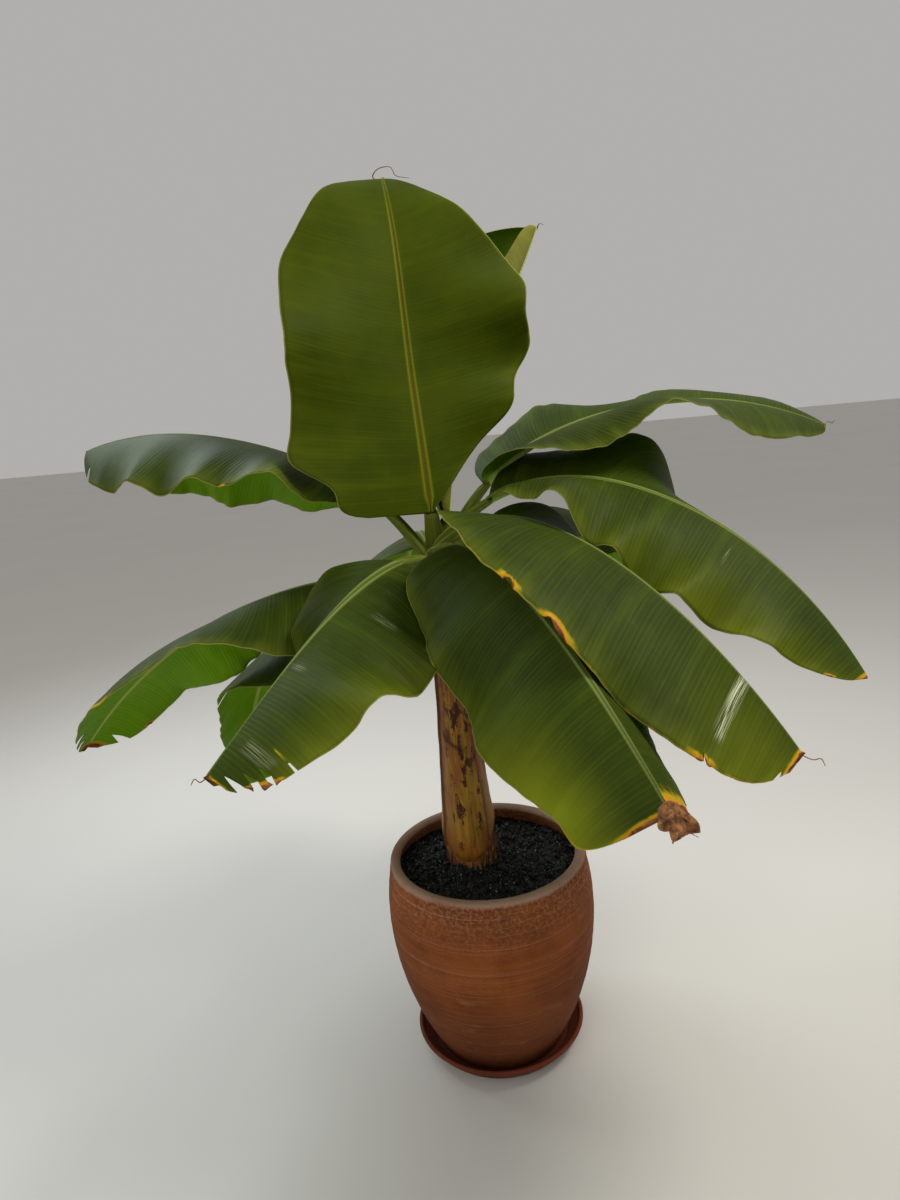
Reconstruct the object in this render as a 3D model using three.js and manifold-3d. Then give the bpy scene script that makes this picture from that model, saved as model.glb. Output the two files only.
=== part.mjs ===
// A potted banana plant: an unglazed clay pot in its saucer, soil, one pseudostem and its leaves.
// Sizes are in millimetres and angles in degrees. +Z is up, the origin is the centre of the saucer's
// flat underside, and the tall upright leaf turns its upper side towards -Y.

import * as THREE from "three";
import { mergeVertices } from "three/addons/utils/BufferGeometryUtils.js";
import Module from "manifold-3d";

const wasm = await Module();
wasm.setup();

const GAP = 0.3; // between pieces that touch

// Saucer
const SAUCER_FOOT_RADIUS = 142;
const SAUCER_RIM_RADIUS = 172;
const SAUCER_HEIGHT = 40;
const SAUCER_WALL = 9;
const SAUCER_FLOOR = 10;

// Pot: a barrel that swells to its belly and draws in under a thick rim
const POT_FOOT_Z = SAUCER_FLOOR + GAP;
const POT_RIM_Z = 420;
const POT_RADII = [130, 166, 191, 204, 205, 193]; // outer radius, evenly spaced from foot to rim
const POT_WALL = 13;
const POT_FLOOR = 16;
const POT_LIP = 17; // thickness of the rim's rounded lip
const POT_STEPS = 10;
const ROUND_STEPS = 36;

// Soil
const SOIL_Z = 392; // level round the stem
const SOIL_FLAT_RADIUS = 95;
const SOIL_EDGE_DIP = 9; // how far the soil lies lower along the pot's wall
const SOIL_CLEARANCE = 1; // to the pot's inner wall

// Pseudostem: a flat cut on the soil, a flared foot, then a lean to the crown
const STEM_FOOT = [-31, 12];
const STEM_MIDDLE = [-36, 6];
const STEM_TOP = [-41, 0];
const STEM_TOP_Z = 1046;
const STEM_RADII = [49, 51.5, 50, 46.5, 42.5, 39, 36.5, 35, 34, 32, 15]; // evenly spaced, foot to top
const STEM_STEPS = 20;
const STEM_SIDES = 20;
const SHEATH_SWELL = 0.035; // the wrapped leaf sheaths make the section slightly three-cornered

// Leaves
const MIDRIB_STEPS = 96;
const BLADE_STEPS = 24;
const BLADE_COLUMNS = 3; // on each side of the midrib
const BLADE_THICKNESS = 6.6;
const BLADE_END_HALF = 12; // half the width left at the blade's two ends
const RIB_HALF = 9; // half the midrib's width
const RIB_DEPTH = [11, 2]; // how far the midrib stands out below, at the stalk and at the tip
const STALK_STEPS = 8;
const STALK_HALF_WIDTH = [18, 12]; // at the stem and at the blade
const STALK_DEPTH = [15, 11];
const GROOVE = [-0.1, 0.72, 0.45]; // shares of depth and width: its bottom, then its two edges

// Each leaf is one midrib and two half blades. start is where the midrib leaves the crown. stalk and
// blade are lengths along it, and half holds the widest left and right half blade, left being on the
// left hand of someone who looks from the stem to the tip on the upper side. widest and fullness
// shape the outline, and trim says how its two margins run in and out at even steps from base to tip. rise and heading give the midrib's direction at even steps from start to tip:
// rise above level, and heading from +X towards +Y. left and right give each half blade's slope out
// of the midrib at even steps along the blade, up being positive. curl is how much that slope
// changes from the midrib to the margin. ripple is the margin's wave on each side: its angle, the
// number of waves and where they begin. The youngest leaf comes first.
const LEAVES = [
  {
    name: "furled",
    start: [-24, 32, 1040],
    stalk: 72,
    blade: 550,
    half: [150, 138],
    widest: [1.5, 1.5],
    fullness: [0.42, 0.42],
    rise: [78, 63, 58, 66],
    heading: [84, 46, 18, 4],
    left: [80, 78, 74, 58, 34],
    right: [88, 88, 86, 84, 80],
    curl: [[160, 150, 90], [176, 172, 150]],
    ripple: [
      [0, 1, 0],
      [0, 1, 0],
    ],
    columns: 5,
  },
  {
    name: "upright",
    start: [-47, -24, 1030],
    stalk: 72,
    blade: 670,
    half: [246, 228],
    widest: [0.62, 1.15],
    fullness: [0.5, 0.8],
    trim: [
      [1.19, 0.87, 1.04, 0.95, 0.915, 0.96, 0.98, 0.98, 0.99, 0.92, 0.88, 0.87, 0.8],
      [0.83, 0.84, 0.95, 1.12, 1.04, 1.12, 0.98, 0.98, 0.88, 0.74, 0.64, 0.6, 0.6],
    ],
    rise: [84, 80, 80, 20],
    heading: [104, 110, 102, 94],
    left: [8, 6, 12, 8, 0],
    right: [-6, -4, 2, 4, -2],
    curl: [[-4], [-8]],
    ripple: [
      [10, 2.2, 0.23],
      [10, 3.9, 0.18],
    ],
  },
  {
    name: "high_right",
    start: [-17, 31, 1040],
    stalk: 156,
    blade: 632,
    half: [190, 182],
    widest: [0.85, 0.85],
    fullness: [0.45, 0.45],
    rise: [63, 23, -2, -28],
    heading: [8, 3, -3, -12],
    left: [18, 11, -1, 6, 4],
    right: [26, -8, -2, -18, -22],
    curl: [[-29], [-31]],
    ripple: [
      [10, 3.1, 0.41],
      [9, 2, 0.11],
    ],
  },
  {
    name: "right",
    start: [-31, -19, 1052],
    stalk: 140,
    blade: 695,
    half: [198, 188],
    widest: [0.86, 0.86],
    fullness: [0.43, 0.43],
    rise: [48, -4, -32, -58],
    heading: [-11, -27, -43, -48],
    left: [21, 15, -25, -60, -60],
    right: [1, -4, -24, -22, -4],
    curl: [[-28], [-29]],
    ripple: [
      [21, 3.7, 0.14],
      [14, 5.2, -0.13],
    ],
  },
  {
    name: "high_left",
    start: [-61, 32, 1008],
    stalk: 178,
    blade: 572,
    half: [192, 185],
    widest: [0.85, 0.85],
    fullness: [0.44, 0.44],
    rise: [63, 31, 10, -16],
    heading: [174, 173, 172, 163],
    left: [-17, -8, -24, -33, -49],
    right: [-38, -44, -50, -54, -57],
    curl: [[-31], [-30]],
    ripple: [
      [10, 4.3, 0.25],
      [9, 2.9, 0.24],
    ],
  },
  {
    name: "front_right",
    start: [-31, -38, 1036],
    stalk: 143,
    blade: 637,
    half: [184, 200],
    widest: [0.87, 0.87],
    fullness: [0.36, 0.36],
    trim: [
      [1],
      [1, 1, 1, 1, 1, 1, 1, 1, 1.03, 1.07, 1.1, 1.1, 1],
    ],
    rise: [40, -9, -41, -58],
    heading: [-56, -49, -36, -23],
    left: [16, -46, -62, -71, -66],
    right: [12, 4, -14, -18, -29],
    curl: [[-31], [-16]],
    ripple: [
      [8, 3, 0.46],
      [9, 2.4, 0.14],
    ],
  },
  {
    name: "front",
    start: [-45, -48, 1033],
    stalk: 112,
    blade: 616,
    half: [187, 166],
    widest: [0.89, 0.89],
    fullness: [0.34, 0.34],
    trim: [
      [1],
      [1, 1, 1, 1, 1, 1.02, 1.06, 1.1, 1.13, 1.14, 1.15, 1.12, 1],
    ],
    rise: [24, -12, -30, -38],
    heading: [-69, -69, -68, -69],
    left: [-41, -52, -52, -55, -55],
    right: [-12, -34, -44, -48, -48],
    curl: [[-30], [-35]],
    ripple: [
      [9, 3.1, 0.13],
      [11, 3.2, 0.06],
    ],
  },
  {
    name: "front_left",
    start: [-54, -38, 1020],
    stalk: 114,
    blade: 504,
    half: [189, 196],
    widest: [0.84, 0.84],
    fullness: [0.43, 0.43],
    rise: [17, -9, -30, -41],
    heading: [244, 240, 232, 220],
    left: [-20, -38, -28, -8, -28],
    right: [2, -28, -70, -76, -62],
    curl: [[-28], [-29]],
    ripple: [
      [12, 3.9, -0.28],
      [9, 4, 0.05],
    ],
  },
  {
    name: "low_left",
    start: [-67, 29, 980],
    stalk: 132,
    blade: 608,
    half: [191, 178],
    widest: [0.84, 0.84],
    fullness: [0.45, 0.45],
    rise: [13, -9, -32, -52],
    heading: [190, 190, 188, 184],
    left: [-39, -25, 2, 14, 0],
    right: [-49, -43, -44, -41, -46],
    curl: [[-29], [-30]],
    ripple: [
      [10, 1.9, 0.41],
      [12, 2.1, 0.59],
    ],
  },
  {
    name: "rear_left",
    start: [-55, 39, 940],
    stalk: 146,
    blade: 590,
    half: [196, 185],
    widest: [0.85, 0.85],
    fullness: [0.45, 0.45],
    rise: [12, -20, -52, -74],
    heading: [154, 151, 146, 142],
    left: [-60, -40, -20, -16, -20],
    right: [-40, -58, -66, -62, -55],
    curl: [[-28], [-30]],
    ripple: [
      [10, 2, 0.19],
      [8, 2, 0],
    ],
  },
  {
    name: "rear_right",
    start: [-15, 20, 985],
    stalk: 135,
    blade: 600,
    half: [188, 188],
    widest: [0.86, 0.86],
    fullness: [0.44, 0.44],
    rise: [42, 0, -32, -55],
    heading: [48, 44, 40, 34],
    left: [-20, -26, -34, -38, -30],
    right: [-12, -24, -36, -44, -36],
    curl: [[-28], [-28]],
    ripple: [
      [9, 3.2, 0.3],
      [10, 2.6, 0.1],
    ],
  },
  {
    name: "rear",
    start: [-42, 32, 965],
    stalk: 128,
    blade: 585,
    half: [186, 186],
    widest: [0.86, 0.86],
    fullness: [0.44, 0.44],
    rise: [38, -4, -38, -60],
    heading: [98, 100, 102, 104],
    left: [-18, -28, -38, -42, -34],
    right: [-16, -28, -36, -38, -34],
    curl: [[-28], [-28]],
    ripple: [
      [10, 2.8, 0.2],
      [9, 3.3, 0.4],
    ],
  },
];

const COLOURS = {
  saucer: 0xa4553a,
  pot: 0xa8643f,
  soil: 0x1d1a18,
  pseudostem: 0x9a8347,
  stalk: 0x8a9a4a,
  leaf: 0x3f5a1c,
};
const ROUGHNESS = { saucer: 0.8, pot: 0.85, soil: 0.95, pseudostem: 0.6, stalk: 0.5, leaf: 0.45 };

const radians = THREE.MathUtils.degToRad;

// The value at share t of evenly spaced stations, on a smooth curve through them
function along(stations, t) {
  const last = stations.length - 1;
  if (last === 0) return stations[0];
  const place = THREE.MathUtils.clamp(t, 0, 1) * last;
  const i = Math.min(Math.floor(place), last - 1);
  const f = place - i;
  const here = stations[i];
  const next = stations[i + 1];
  const before = i > 0 ? stations[i - 1] : 2 * here - next;
  const after = i + 2 <= last ? stations[i + 2] : 2 * next - here;
  return (
    here +
    0.5 * f * (next - before + f * (2 * before - 5 * here + 4 * next - after + f * (3 * (here - next) + after - before)))
  );
}

// A closed solid through rings of the same number of points, with flat ends. cap lists the
// triangles of one end by their places in the ring.
function ringSolid(rings, cap) {
  const count = rings[0].length;
  const positions = rings.flat().flatMap((p) => [p.x, p.y, p.z]);
  const index = [];
  for (let i = 0; i + 1 < rings.length; i++) {
    for (let j = 0; j < count; j++) {
      const a = i * count + j;
      const b = i * count + ((j + 1) % count);
      index.push(a, b, b + count, a, b + count, a + count);
    }
  }
  const end = (rings.length - 1) * count;
  for (const [a, b, c] of cap) {
    index.push(a, c, b, end + a, end + b, end + c);
  }
  const geometry = new THREE.BufferGeometry();
  geometry.setAttribute("position", new THREE.Float32BufferAttribute(positions, 3));
  geometry.setIndex(index);
  return geometry;
}

// The triangles that close a convex ring, or one that its first point sees whole
function fan(count) {
  return Array.from({ length: count - 2 }, (_, k) => [0, k + 1, k + 2]);
}

function turned(geometry) {
  const index = geometry.getIndex().array;
  for (let i = 0; i < index.length; i += 3) {
    [index[i + 1], index[i + 2]] = [index[i + 2], index[i + 1]];
  }
  return geometry;
}

function manifoldOf(geometry) {
  const bare = new THREE.BufferGeometry();
  bare.setAttribute("position", geometry.getAttribute("position"));
  bare.setIndex(geometry.getIndex());
  const merged = mergeVertices(bare, 1e-3);
  return new wasm.Manifold(
    new wasm.Mesh({
      numProp: 3,
      vertProperties: new Float32Array(merged.getAttribute("position").array),
      triVerts: new Uint32Array(merged.getIndex().array),
    }),
  );
}

function geometryOf(manifold) {
  const mesh = manifold.getMesh();
  const geometry = new THREE.BufferGeometry();
  geometry.setAttribute("position", new THREE.Float32BufferAttribute(mesh.vertProperties, 3));
  geometry.setIndex(new THREE.Uint32BufferAttribute(mesh.triVerts, 1));
  return geometry;
}

// Cuts leave scraps apart from the piece itself
function largest(manifold) {
  return manifold.decompose().sort((a, b) => b.volume() - a.volume())[0];
}

// A turned piece: its profile holds radius and height, from the axis below to the axis above
function turnedPiece(profile) {
  const points = profile.map(([radius, z]) => new THREE.Vector2(radius, z));
  return new THREE.LatheGeometry(points, ROUND_STEPS).rotateX(Math.PI / 2);
}

function saucer() {
  const inner = SAUCER_RIM_RADIUS - SAUCER_WALL;
  return turnedPiece([
    [0, 0],
    [SAUCER_FOOT_RADIUS, 0],
    [SAUCER_RIM_RADIUS, SAUCER_HEIGHT - 3],
    [SAUCER_RIM_RADIUS - 2, SAUCER_HEIGHT],
    [inner + 1, SAUCER_HEIGHT],
    [inner - 2, SAUCER_HEIGHT - 4],
    [SAUCER_FOOT_RADIUS - 4, SAUCER_FLOOR],
    [0, SAUCER_FLOOR],
  ]);
}

function potRadius(z) {
  return along(POT_RADII, (z - POT_FOOT_Z) / (POT_RIM_Z - POT_FOOT_Z));
}

// The pot's inner wall, which leans in with the outer one and ends under the lip
function cavityRadius(z) {
  return potRadius(z) - POT_WALL;
}

function pot() {
  const lip = POT_LIP / 2;
  const lipCentre = [potRadius(POT_RIM_Z) - lip, POT_RIM_Z - lip];
  const profile = [[0, POT_FOOT_Z]];
  for (let i = 0; i < POT_STEPS; i++) {
    const z = POT_FOOT_Z + ((lipCentre[1] - POT_FOOT_Z) * i) / POT_STEPS;
    profile.push([potRadius(z), z]);
  }
  for (let i = 0; i <= 4; i++) {
    const turn = (Math.PI * i) / 4;
    profile.push([lipCentre[0] + lip * Math.cos(turn), lipCentre[1] + lip * Math.sin(turn)]);
  }
  const floor = POT_FOOT_Z + POT_FLOOR;
  const top = POT_RIM_Z - 2 * POT_LIP;
  for (let i = 0; i <= POT_STEPS / 2; i++) {
    const z = top + ((floor - top) * i) / (POT_STEPS / 2);
    profile.push([cavityRadius(z), z]);
  }
  profile.push([0, floor]);
  return turnedPiece(profile);
}

function soil() {
  const floor = POT_FOOT_Z + POT_FLOOR + GAP;
  const edge = SOIL_Z - SOIL_EDGE_DIP;
  const profile = [[0, floor]];
  for (let i = 0; i <= POT_STEPS / 2; i++) {
    const z = floor + ((edge - floor) * i) / (POT_STEPS / 2);
    profile.push([cavityRadius(z) - SOIL_CLEARANCE, z]);
  }
  profile.push([SOIL_FLAT_RADIUS, SOIL_Z], [0, SOIL_Z]);
  return turnedPiece(profile);
}

// The pseudostem as level rings, grown by a clearance where it cuts other pieces
function stemRings(grow) {
  const foot = SOIL_Z + GAP;
  const rings = [];
  for (let i = 0; i <= STEM_STEPS; i++) {
    const t = i / STEM_STEPS;
    const z = foot + (STEM_TOP_Z + grow - foot) * t;
    const x = along([STEM_FOOT[0], STEM_MIDDLE[0], STEM_TOP[0]], t);
    const y = along([STEM_FOOT[1], STEM_MIDDLE[1], STEM_TOP[1]], t);
    const ring = [];
    for (let j = 0; j < STEM_SIDES; j++) {
      const turn = (2 * Math.PI * j) / STEM_SIDES;
      const swell = 1 + SHEATH_SWELL * Math.sin(3 * turn + 4 * t);
      const radius = along(STEM_RADII, t) * swell + grow;
      ring.push(new THREE.Vector3(x + radius * Math.cos(turn), y + radius * Math.sin(turn), z));
    }
    rings.push(ring);
  }
  return rings;
}

function pseudostem(grow = 0) {
  return ringSolid(stemRings(grow), fan(STEM_SIDES));
}

// Points and frames along a leaf's midrib: ahead to the tip, side to the left, up out of the blade
function midribOf(leaf) {
  const step = (leaf.stalk + leaf.blade) / MIDRIB_STEPS;
  const point = new THREE.Vector3(...leaf.start);
  const frames = [];
  for (let i = 0; i <= MIDRIB_STEPS; i++) {
    const rise = radians(along(leaf.rise, i / MIDRIB_STEPS));
    const heading = radians(along(leaf.heading, i / MIDRIB_STEPS));
    const level = new THREE.Vector3(Math.cos(heading), Math.sin(heading), 0);
    const ahead = level.multiplyScalar(Math.cos(rise)).setZ(Math.sin(rise));
    const side = new THREE.Vector3(-Math.sin(heading), Math.cos(heading), 0);
    if (i > 0) point.addScaledVector(ahead.clone().add(frames[i - 1].ahead), step / 2);
    frames.push({ point: point.clone(), ahead, side, up: ahead.clone().cross(side) });
  }
  return { frames, step };
}

function frameAt(midrib, distance) {
  const place = THREE.MathUtils.clamp(distance / midrib.step, 0, MIDRIB_STEPS);
  const i = Math.min(Math.floor(place), MIDRIB_STEPS - 1);
  const mixed = {};
  for (const key of ["point", "ahead", "side", "up"]) {
    mixed[key] = midrib.frames[i][key].clone().lerp(midrib.frames[i + 1][key], place - i);
  }
  return mixed;
}

// Half the blade's width at share u of its length
function halfWidth(leaf, hand, u) {
  const g = Math.pow(u, leaf.widest[hand]);
  const trim = leaf.trim ? along(leaf.trim[hand], u) : 1;
  return Math.max(leaf.half[hand] * trim * Math.pow(4 * g * (1 - g), leaf.fullness[hand]), BLADE_END_HALF);
}

// The slope of one half blade at share v of the way to its margin
function slope(leaf, hand, u, v) {
  const [angle, waves, start] = leaf.ripple[hand];
  const fade = Math.sqrt(Math.sin(Math.PI * u));
  const wave = angle * Math.sin(2 * Math.PI * (waves * u + start)) * v * fade;
  const fold = along(hand === 0 ? leaf.left : leaf.right, u);
  return radians(fold + along(leaf.curl[hand], u) * (v - 0.5) + wave);
}

// Points and normals of one half of a blade's section, from the midrib to the margin
function halfSection(leaf, hand, u, frame) {
  const columns = leaf.columns ?? BLADE_COLUMNS;
  const width = halfWidth(leaf, hand, u);
  const rib = Math.min(RIB_HALF, width / 2);
  const sideways = frame.side.clone().multiplyScalar(hand === 0 ? 1 : -1);
  const point = frame.point.clone();
  const section = [];
  let reached = 0;
  for (let k = 0; k <= columns + 1; k++) {
    const distance = k === 0 ? 0 : rib + ((width - rib) * (k - 1)) / columns;
    const middle = slope(leaf, hand, u, (reached + distance) / 2 / width);
    point.addScaledVector(sideways, Math.cos(middle) * (distance - reached));
    point.addScaledVector(frame.up, Math.sin(middle) * (distance - reached));
    const angle = slope(leaf, hand, u, distance / width);
    const normal = frame.up.clone().multiplyScalar(Math.cos(angle));
    normal.addScaledVector(sideways, -Math.sin(angle));
    section.push({ point: point.clone(), normal });
    reached = distance;
  }
  return section;
}

// One ring round a blade: over the upper side from left to right, and back along the lower side
function bladeRing(leaf, u, frame, grow) {
  const left = halfSection(leaf, 0, u, frame);
  const right = halfSection(leaf, 1, u, frame);
  const rib = { point: frame.point, normal: left[0].normal.clone().add(right[0].normal).normalize() };
  const across = [...left.slice(1).reverse(), rib, ...right.slice(1)];
  const half = BLADE_THICKNESS / 2 + grow;
  const upper = across.map((s) => s.point.clone().addScaledVector(s.normal, half));
  const lower = across.map((s) => {
    const depth = s === rib ? along(RIB_DEPTH, u) : 0;
    return s.point.clone().addScaledVector(s.normal, -half - depth);
  });
  return [...upper, ...lower.reverse()];
}

function bladeOf(leaf, grow = 0) {
  const midrib = midribOf(leaf);
  const rings = [];
  for (let i = 0; i <= BLADE_STEPS; i++) {
    const u = i / BLADE_STEPS;
    const frame = frameAt(midrib, leaf.stalk + GAP + (leaf.blade - GAP) * u);
    rings.push(bladeRing(leaf, u, frame, grow));
  }
  const count = rings[0].length;
  const cap = [];
  for (let k = 0; k + 1 < count / 2; k++) {
    cap.push([k, k + 1, count - 2 - k], [k, count - 2 - k, count - 1 - k]);
  }
  return ringSolid(rings, cap);
}

// A stalk's section: round below, with a groove along its upper side. The groove comes first.
function stalkRing(frame, width, depth, grow) {
  const outline = [[0, grow + GROOVE[0] * depth]];
  outline.push([GROOVE[1] * width + grow, GROOVE[2] * depth + grow]);
  for (let k = 0; k <= 4; k++) {
    const turn = (-Math.PI * k) / 4;
    outline.push([(width + grow) * Math.cos(turn), (depth + grow) * Math.sin(turn)]);
  }
  outline.push([-GROOVE[1] * width - grow, GROOVE[2] * depth + grow]);
  return outline.map(([across, up]) =>
    frame.point.clone().addScaledVector(frame.side, across).addScaledVector(frame.up, up),
  );
}

function stalkOf(leaf, grow = 0) {
  const midrib = midribOf(leaf);
  const rings = [];
  for (let i = 0; i <= STALK_STEPS; i++) {
    const t = i / STALK_STEPS;
    const frame = frameAt(midrib, (leaf.stalk + grow) * t);
    if (i === 0) frame.point.addScaledVector(frame.ahead, -grow);
    rings.push(stalkRing(frame, along(STALK_HALF_WIDTH, t), along(STALK_DEPTH, t), grow));
  }
  return turned(ringSolid(rings, fan(rings[0].length)));
}

const plant = new THREE.Group();

function add(name, kind, geometry) {
  const material = new THREE.MeshStandardMaterial({ color: COLOURS[kind], roughness: ROUGHNESS[kind] });
  const mesh = new THREE.Mesh(geometry, material);
  mesh.name = name;
  plant.add(mesh);
}

add("saucer", "saucer", saucer());
add("pot", "pot", pot());
add("soil", "soil", soil());
add("pseudostem", "pseudostem", pseudostem());

// Older stalks wrap round the stem and the younger stalks, so those cut them
const cutters = [manifoldOf(pseudostem(GAP))];
for (const leaf of LEAVES) {
  let stalk = manifoldOf(stalkOf(leaf));
  for (const cutter of cutters) stalk = stalk.subtract(cutter);
  add(`stalk_${leaf.name}`, "stalk", geometryOf(largest(stalk)));
  add(`leaf_${leaf.name}`, "leaf", bladeOf(leaf));
  cutters.push(manifoldOf(stalkOf(leaf, 2 * GAP)));
}

export default plant;
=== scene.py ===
# Looks of a potted banana plant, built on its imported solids.
# Sizes are in millimetres and angles in degrees, but what a finish reads is in metres, as the
# meshes are. A pair gives a value's start and end, or where a soft step is 0 and where it is 1.

import math

import bpy
import numpy as np
from mathutils import Matrix, Vector, noise


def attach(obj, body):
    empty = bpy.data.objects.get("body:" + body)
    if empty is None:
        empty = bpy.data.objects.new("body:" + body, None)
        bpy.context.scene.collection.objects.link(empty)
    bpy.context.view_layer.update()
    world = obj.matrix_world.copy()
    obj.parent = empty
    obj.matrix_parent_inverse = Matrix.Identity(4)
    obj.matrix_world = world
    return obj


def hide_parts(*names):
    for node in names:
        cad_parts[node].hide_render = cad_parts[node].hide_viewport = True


MM = 0.001
BODY = "root"

# Camera, floor and light; the places of the camera and lights are in metres
CAMERA_SPOT = (-0.029, -1.505, 1.29)
CAMERA_PITCH = 13.3
CAMERA_ROLL = 5.14
CAMERA_LENS = 24.9
FLOOR_REACH = 30000
ROOM_COLOUR = (1.0, 0.98, 0.95, 1)
ROOM_STRENGTH = 0.44
# Each light's place, the height it aims at, its watts, size and colour
LIGHTS = {
    "key": ((1.4, -0.5, 3.0), 0.9, 52, 0.8, (1.0, 0.95, 0.87)),
    "window": ((-1.5, 1.3, 2.6), 1.1, 45, 1.6, (0.86, 0.94, 1.0)),
    "fill": ((-1.6, -2.4, 1.6), 0.8, 22, 2.4, (1.0, 0.98, 0.95)),
}

# Pot and saucer
SAUCER_FOOT_RADIUS = 142
SAUCER_RIM_RADIUS = 172
SAUCER_HEIGHT = 40
SAUCER_WALL = 9
SAUCER_FLOOR = 10
SAUCER_BULGE = 1.5
SAUCER_CORNER = 2
SAUCER_SIDE = (0.1, 0.9)
SAUCER_SIDE_BELOW_RIM = 4
SAUCER_INSIDE = (0.85, 0)
SAUCER_INSIDE_BELOW_RIM = 6
SAUCER_INNER_FOOT = 4
PROFILE_STEPS = 9
POT_FOOT_Z = 10.3
POT_RIM_Z = 420
POT_RADII = (130, 166, 191, 204, 205, 193)
POT_WALL = 13
POT_FLOOR = 16
POT_LIP = 17
LIP_SWELL = 1.5
GROOVE_DEPTH = 1.6
GROOVE_WIDTH = 3
GROOVE_BELOW_RIM = 21
POT_CORNER = (3, 2)
POT_SIDE_BELOW_LIP = 5
POT_INSIDE_BELOW_RIM = 28
LIP_STARTS = -0.25
LIP_STEPS = 15
POT_SIDE_STEPS = 150
POT_INSIDE_STEPS = 14
ROUND_SIDES = 192
TURNING_MARK = 0.45
TURNING_LENGTHS = (7, 60)
# Heights where the pot's rim pales: chalky bloom with a painted highlight on the lip
PALE_RIM = (0.412, 0.422)

# Soil
SOIL_Z = 392
SOIL_EDGE_DIP = 9
SOIL_LUMP = 9
SOIL_LUMP_LENGTH = 22
SOIL_HEAP = 5
HEAP_FROM_STEM = 50
HEAP_WIDTH = 26
SOIL_RINGS = 90
SOIL_SIDES = 240
SOIL_GAP = 0.5
SOIL_INNERMOST = 0.004
SOIL_NOISE = (0.6, 2.1, 5)
SOIL_NOISE_Z = 1.7
SOIL_CALM = 0.35
CALM_FROM_EDGE = 0.12
SOIL_WALL_BELOW = 40
SOIL_WALL_RINGS = 8
CRUMBS_PER_AREA = 24000
CRUMB_SIZE = 10
CRUMB_HALF = 500
CRUMB_CORNERS = (0.7, 1.3)
CRUMB_SEEDS = (20, 4)
BIT_SCALES = (0.35, 1.25)

# Pseudostem
STEM_FOOT = (-31, 12)
STEM_MIDDLE = (-36, 6)
STEM_TOP = (-41, 0)
STEM_TOP_Z = 1046
STEM_RADII = (49, 51.5, 50, 46.5, 42.5, 39, 36.5, 35, 34, 32, 15)
STEM_SLIM = 4.5
STEM_ROWS = 220
STEM_SIDES = 120
STEM_BURIED = 12
STEM_GIRTH = 0.26
STEM_ROUGH = 0.9
ROUGH_AROUND = 4
ROUGH_LENGTH = 60
ROUGH_NOISE = (0.8, 2.0, 4)
STEM_LOBES = 3
LOBE_TWIST = 4
STEM_REACH = 0.65
SHEATH_SWELL = 0.035
SHEATH_STEP = 4
STEP_FADES = 0.42
STEP_TOP = (1.02, 0.8)
LAP_PALES = (0.84, 0.97)
SHEATH_EDGES = ((316, -0.03), (196, 0.06), (75, 0.12))
EDGE_WIDTH = 0.012
# Width of the painted shadow band beside each sheath edge, as a share of the way round
EDGE_PAINTED_SHADOW = 0.03
EDGE_WANDER = 0.12
EDGE_LENGTH = 6
EDGE_BEGINS = (0.02, 0.1)
FOOT_BROWN = (14, 104)
FOOT_STEP = 4.5
FOOT_ROUND = 9
FOOT_SHAGGY = 3.5
SHAGGY_AROUND = 14
SHAGGY_LENGTH = 30
FOOT_EDGE = (3, -2)
FOOT_EDGE_WAVE = 4
FOOT_STEP_FADES = (70, 8)
FOOT_ROUND_FADES = (30, 0)
FOOT_LOW_TURN = -100
SCAR_TURN = -110
SCAR_Z = 268
SCAR_SLANT = 34
SCAR_HEIGHT = 5
SCAR_STEP = 3.2
SCAR_SPREAD = 0.55
SCAR_BEND = 12
SCAR_FADES = -90

# Dry fibres round the stem's foot, from one turn to another and at some heights over the soil
FIBRE_LENGTH = 26
FIBRE_HALF_WIDTH = 1.7
FIBRE_HALF_THICK = 0.25
FIBRE_TAPER = 0.8
FIBRE_BEND = 0.3
FIBRE_RINGS = 6
FIBRE_TURNS = (-75, 120)
FIBRE_HEIGHTS = (-3, 8, 20)
FIBRE_COLUMNS = 40
FIBRE_STAND_OFF = 3
FIBRE_TILT = 0.45
FIBRES_PER_AREA = 20000
FIBRE_SEED = 7

# Blades; places and spreads across the midrib are in shares of its half width
MIDRIB_STEPS = 96
BLADE_ROWS = 190
BLADE_COLUMNS = 22
ROW_GAP = 0.0004
TEAR_ROWS = 9
TEAR_SHAPE = 0.7
BLADE_THICKNESS = 1.0
BASE_HALF = 10
TIP_HALF = 2
RIB_COLUMNS = (0, 0.3, 0.6, 0.85, 1.1, 1.5)
RIB_HALF = (8, 2.6)
RIB_BELOW = (9, 1.2)
RIB_GROOVE = (2.6, 0.3)
RIB_LIPS = (1.3, 0.35)
RIB_EDGE = 1.1
GROOVE_SPREAD = 0.45
LIP_PLACE = 0.9
LIP_SPREAD = 0.3
LIP_MARK_PLACE = 0.85
LIP_MARK_SPREAD = 0.32
CHANNEL_MARK = (0.85, 0.45)
RIB_MARK = (1.25, 1.0)
MARKS_FADE = (0.6, 1)
GROOVE_COVER = 1.05
RUFFLE_LENGTH = 44
RUFFLE_SLOPE = 9
VEIN_LEAN = 0.3
VEIN_BEND = 1.3
VEIN_PITCH = 0.0072
VEIN_WANDER = 9
CRUMPLE = 9
CRUMPLE_LENGTH = 14
CRUMPLE_DRYNESS = (0.55, 0.9)
WANDER_NOISE = (0.6, 2.0)
WANDER_APART = 7.3
CRINKLE_SHIFTS = ((0, 0, 0), (31.7, 5.1, 0), (0, 47.3, 11.9))
DRY_MARGIN_FROM = 0.93
DRY_MARGIN_BEGINS = (0.02, 0.22)
DRY_EDGE = (1.6, 0.4)
RIGHT_SEED = 40
WORN_EDGE = 0.05

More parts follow.
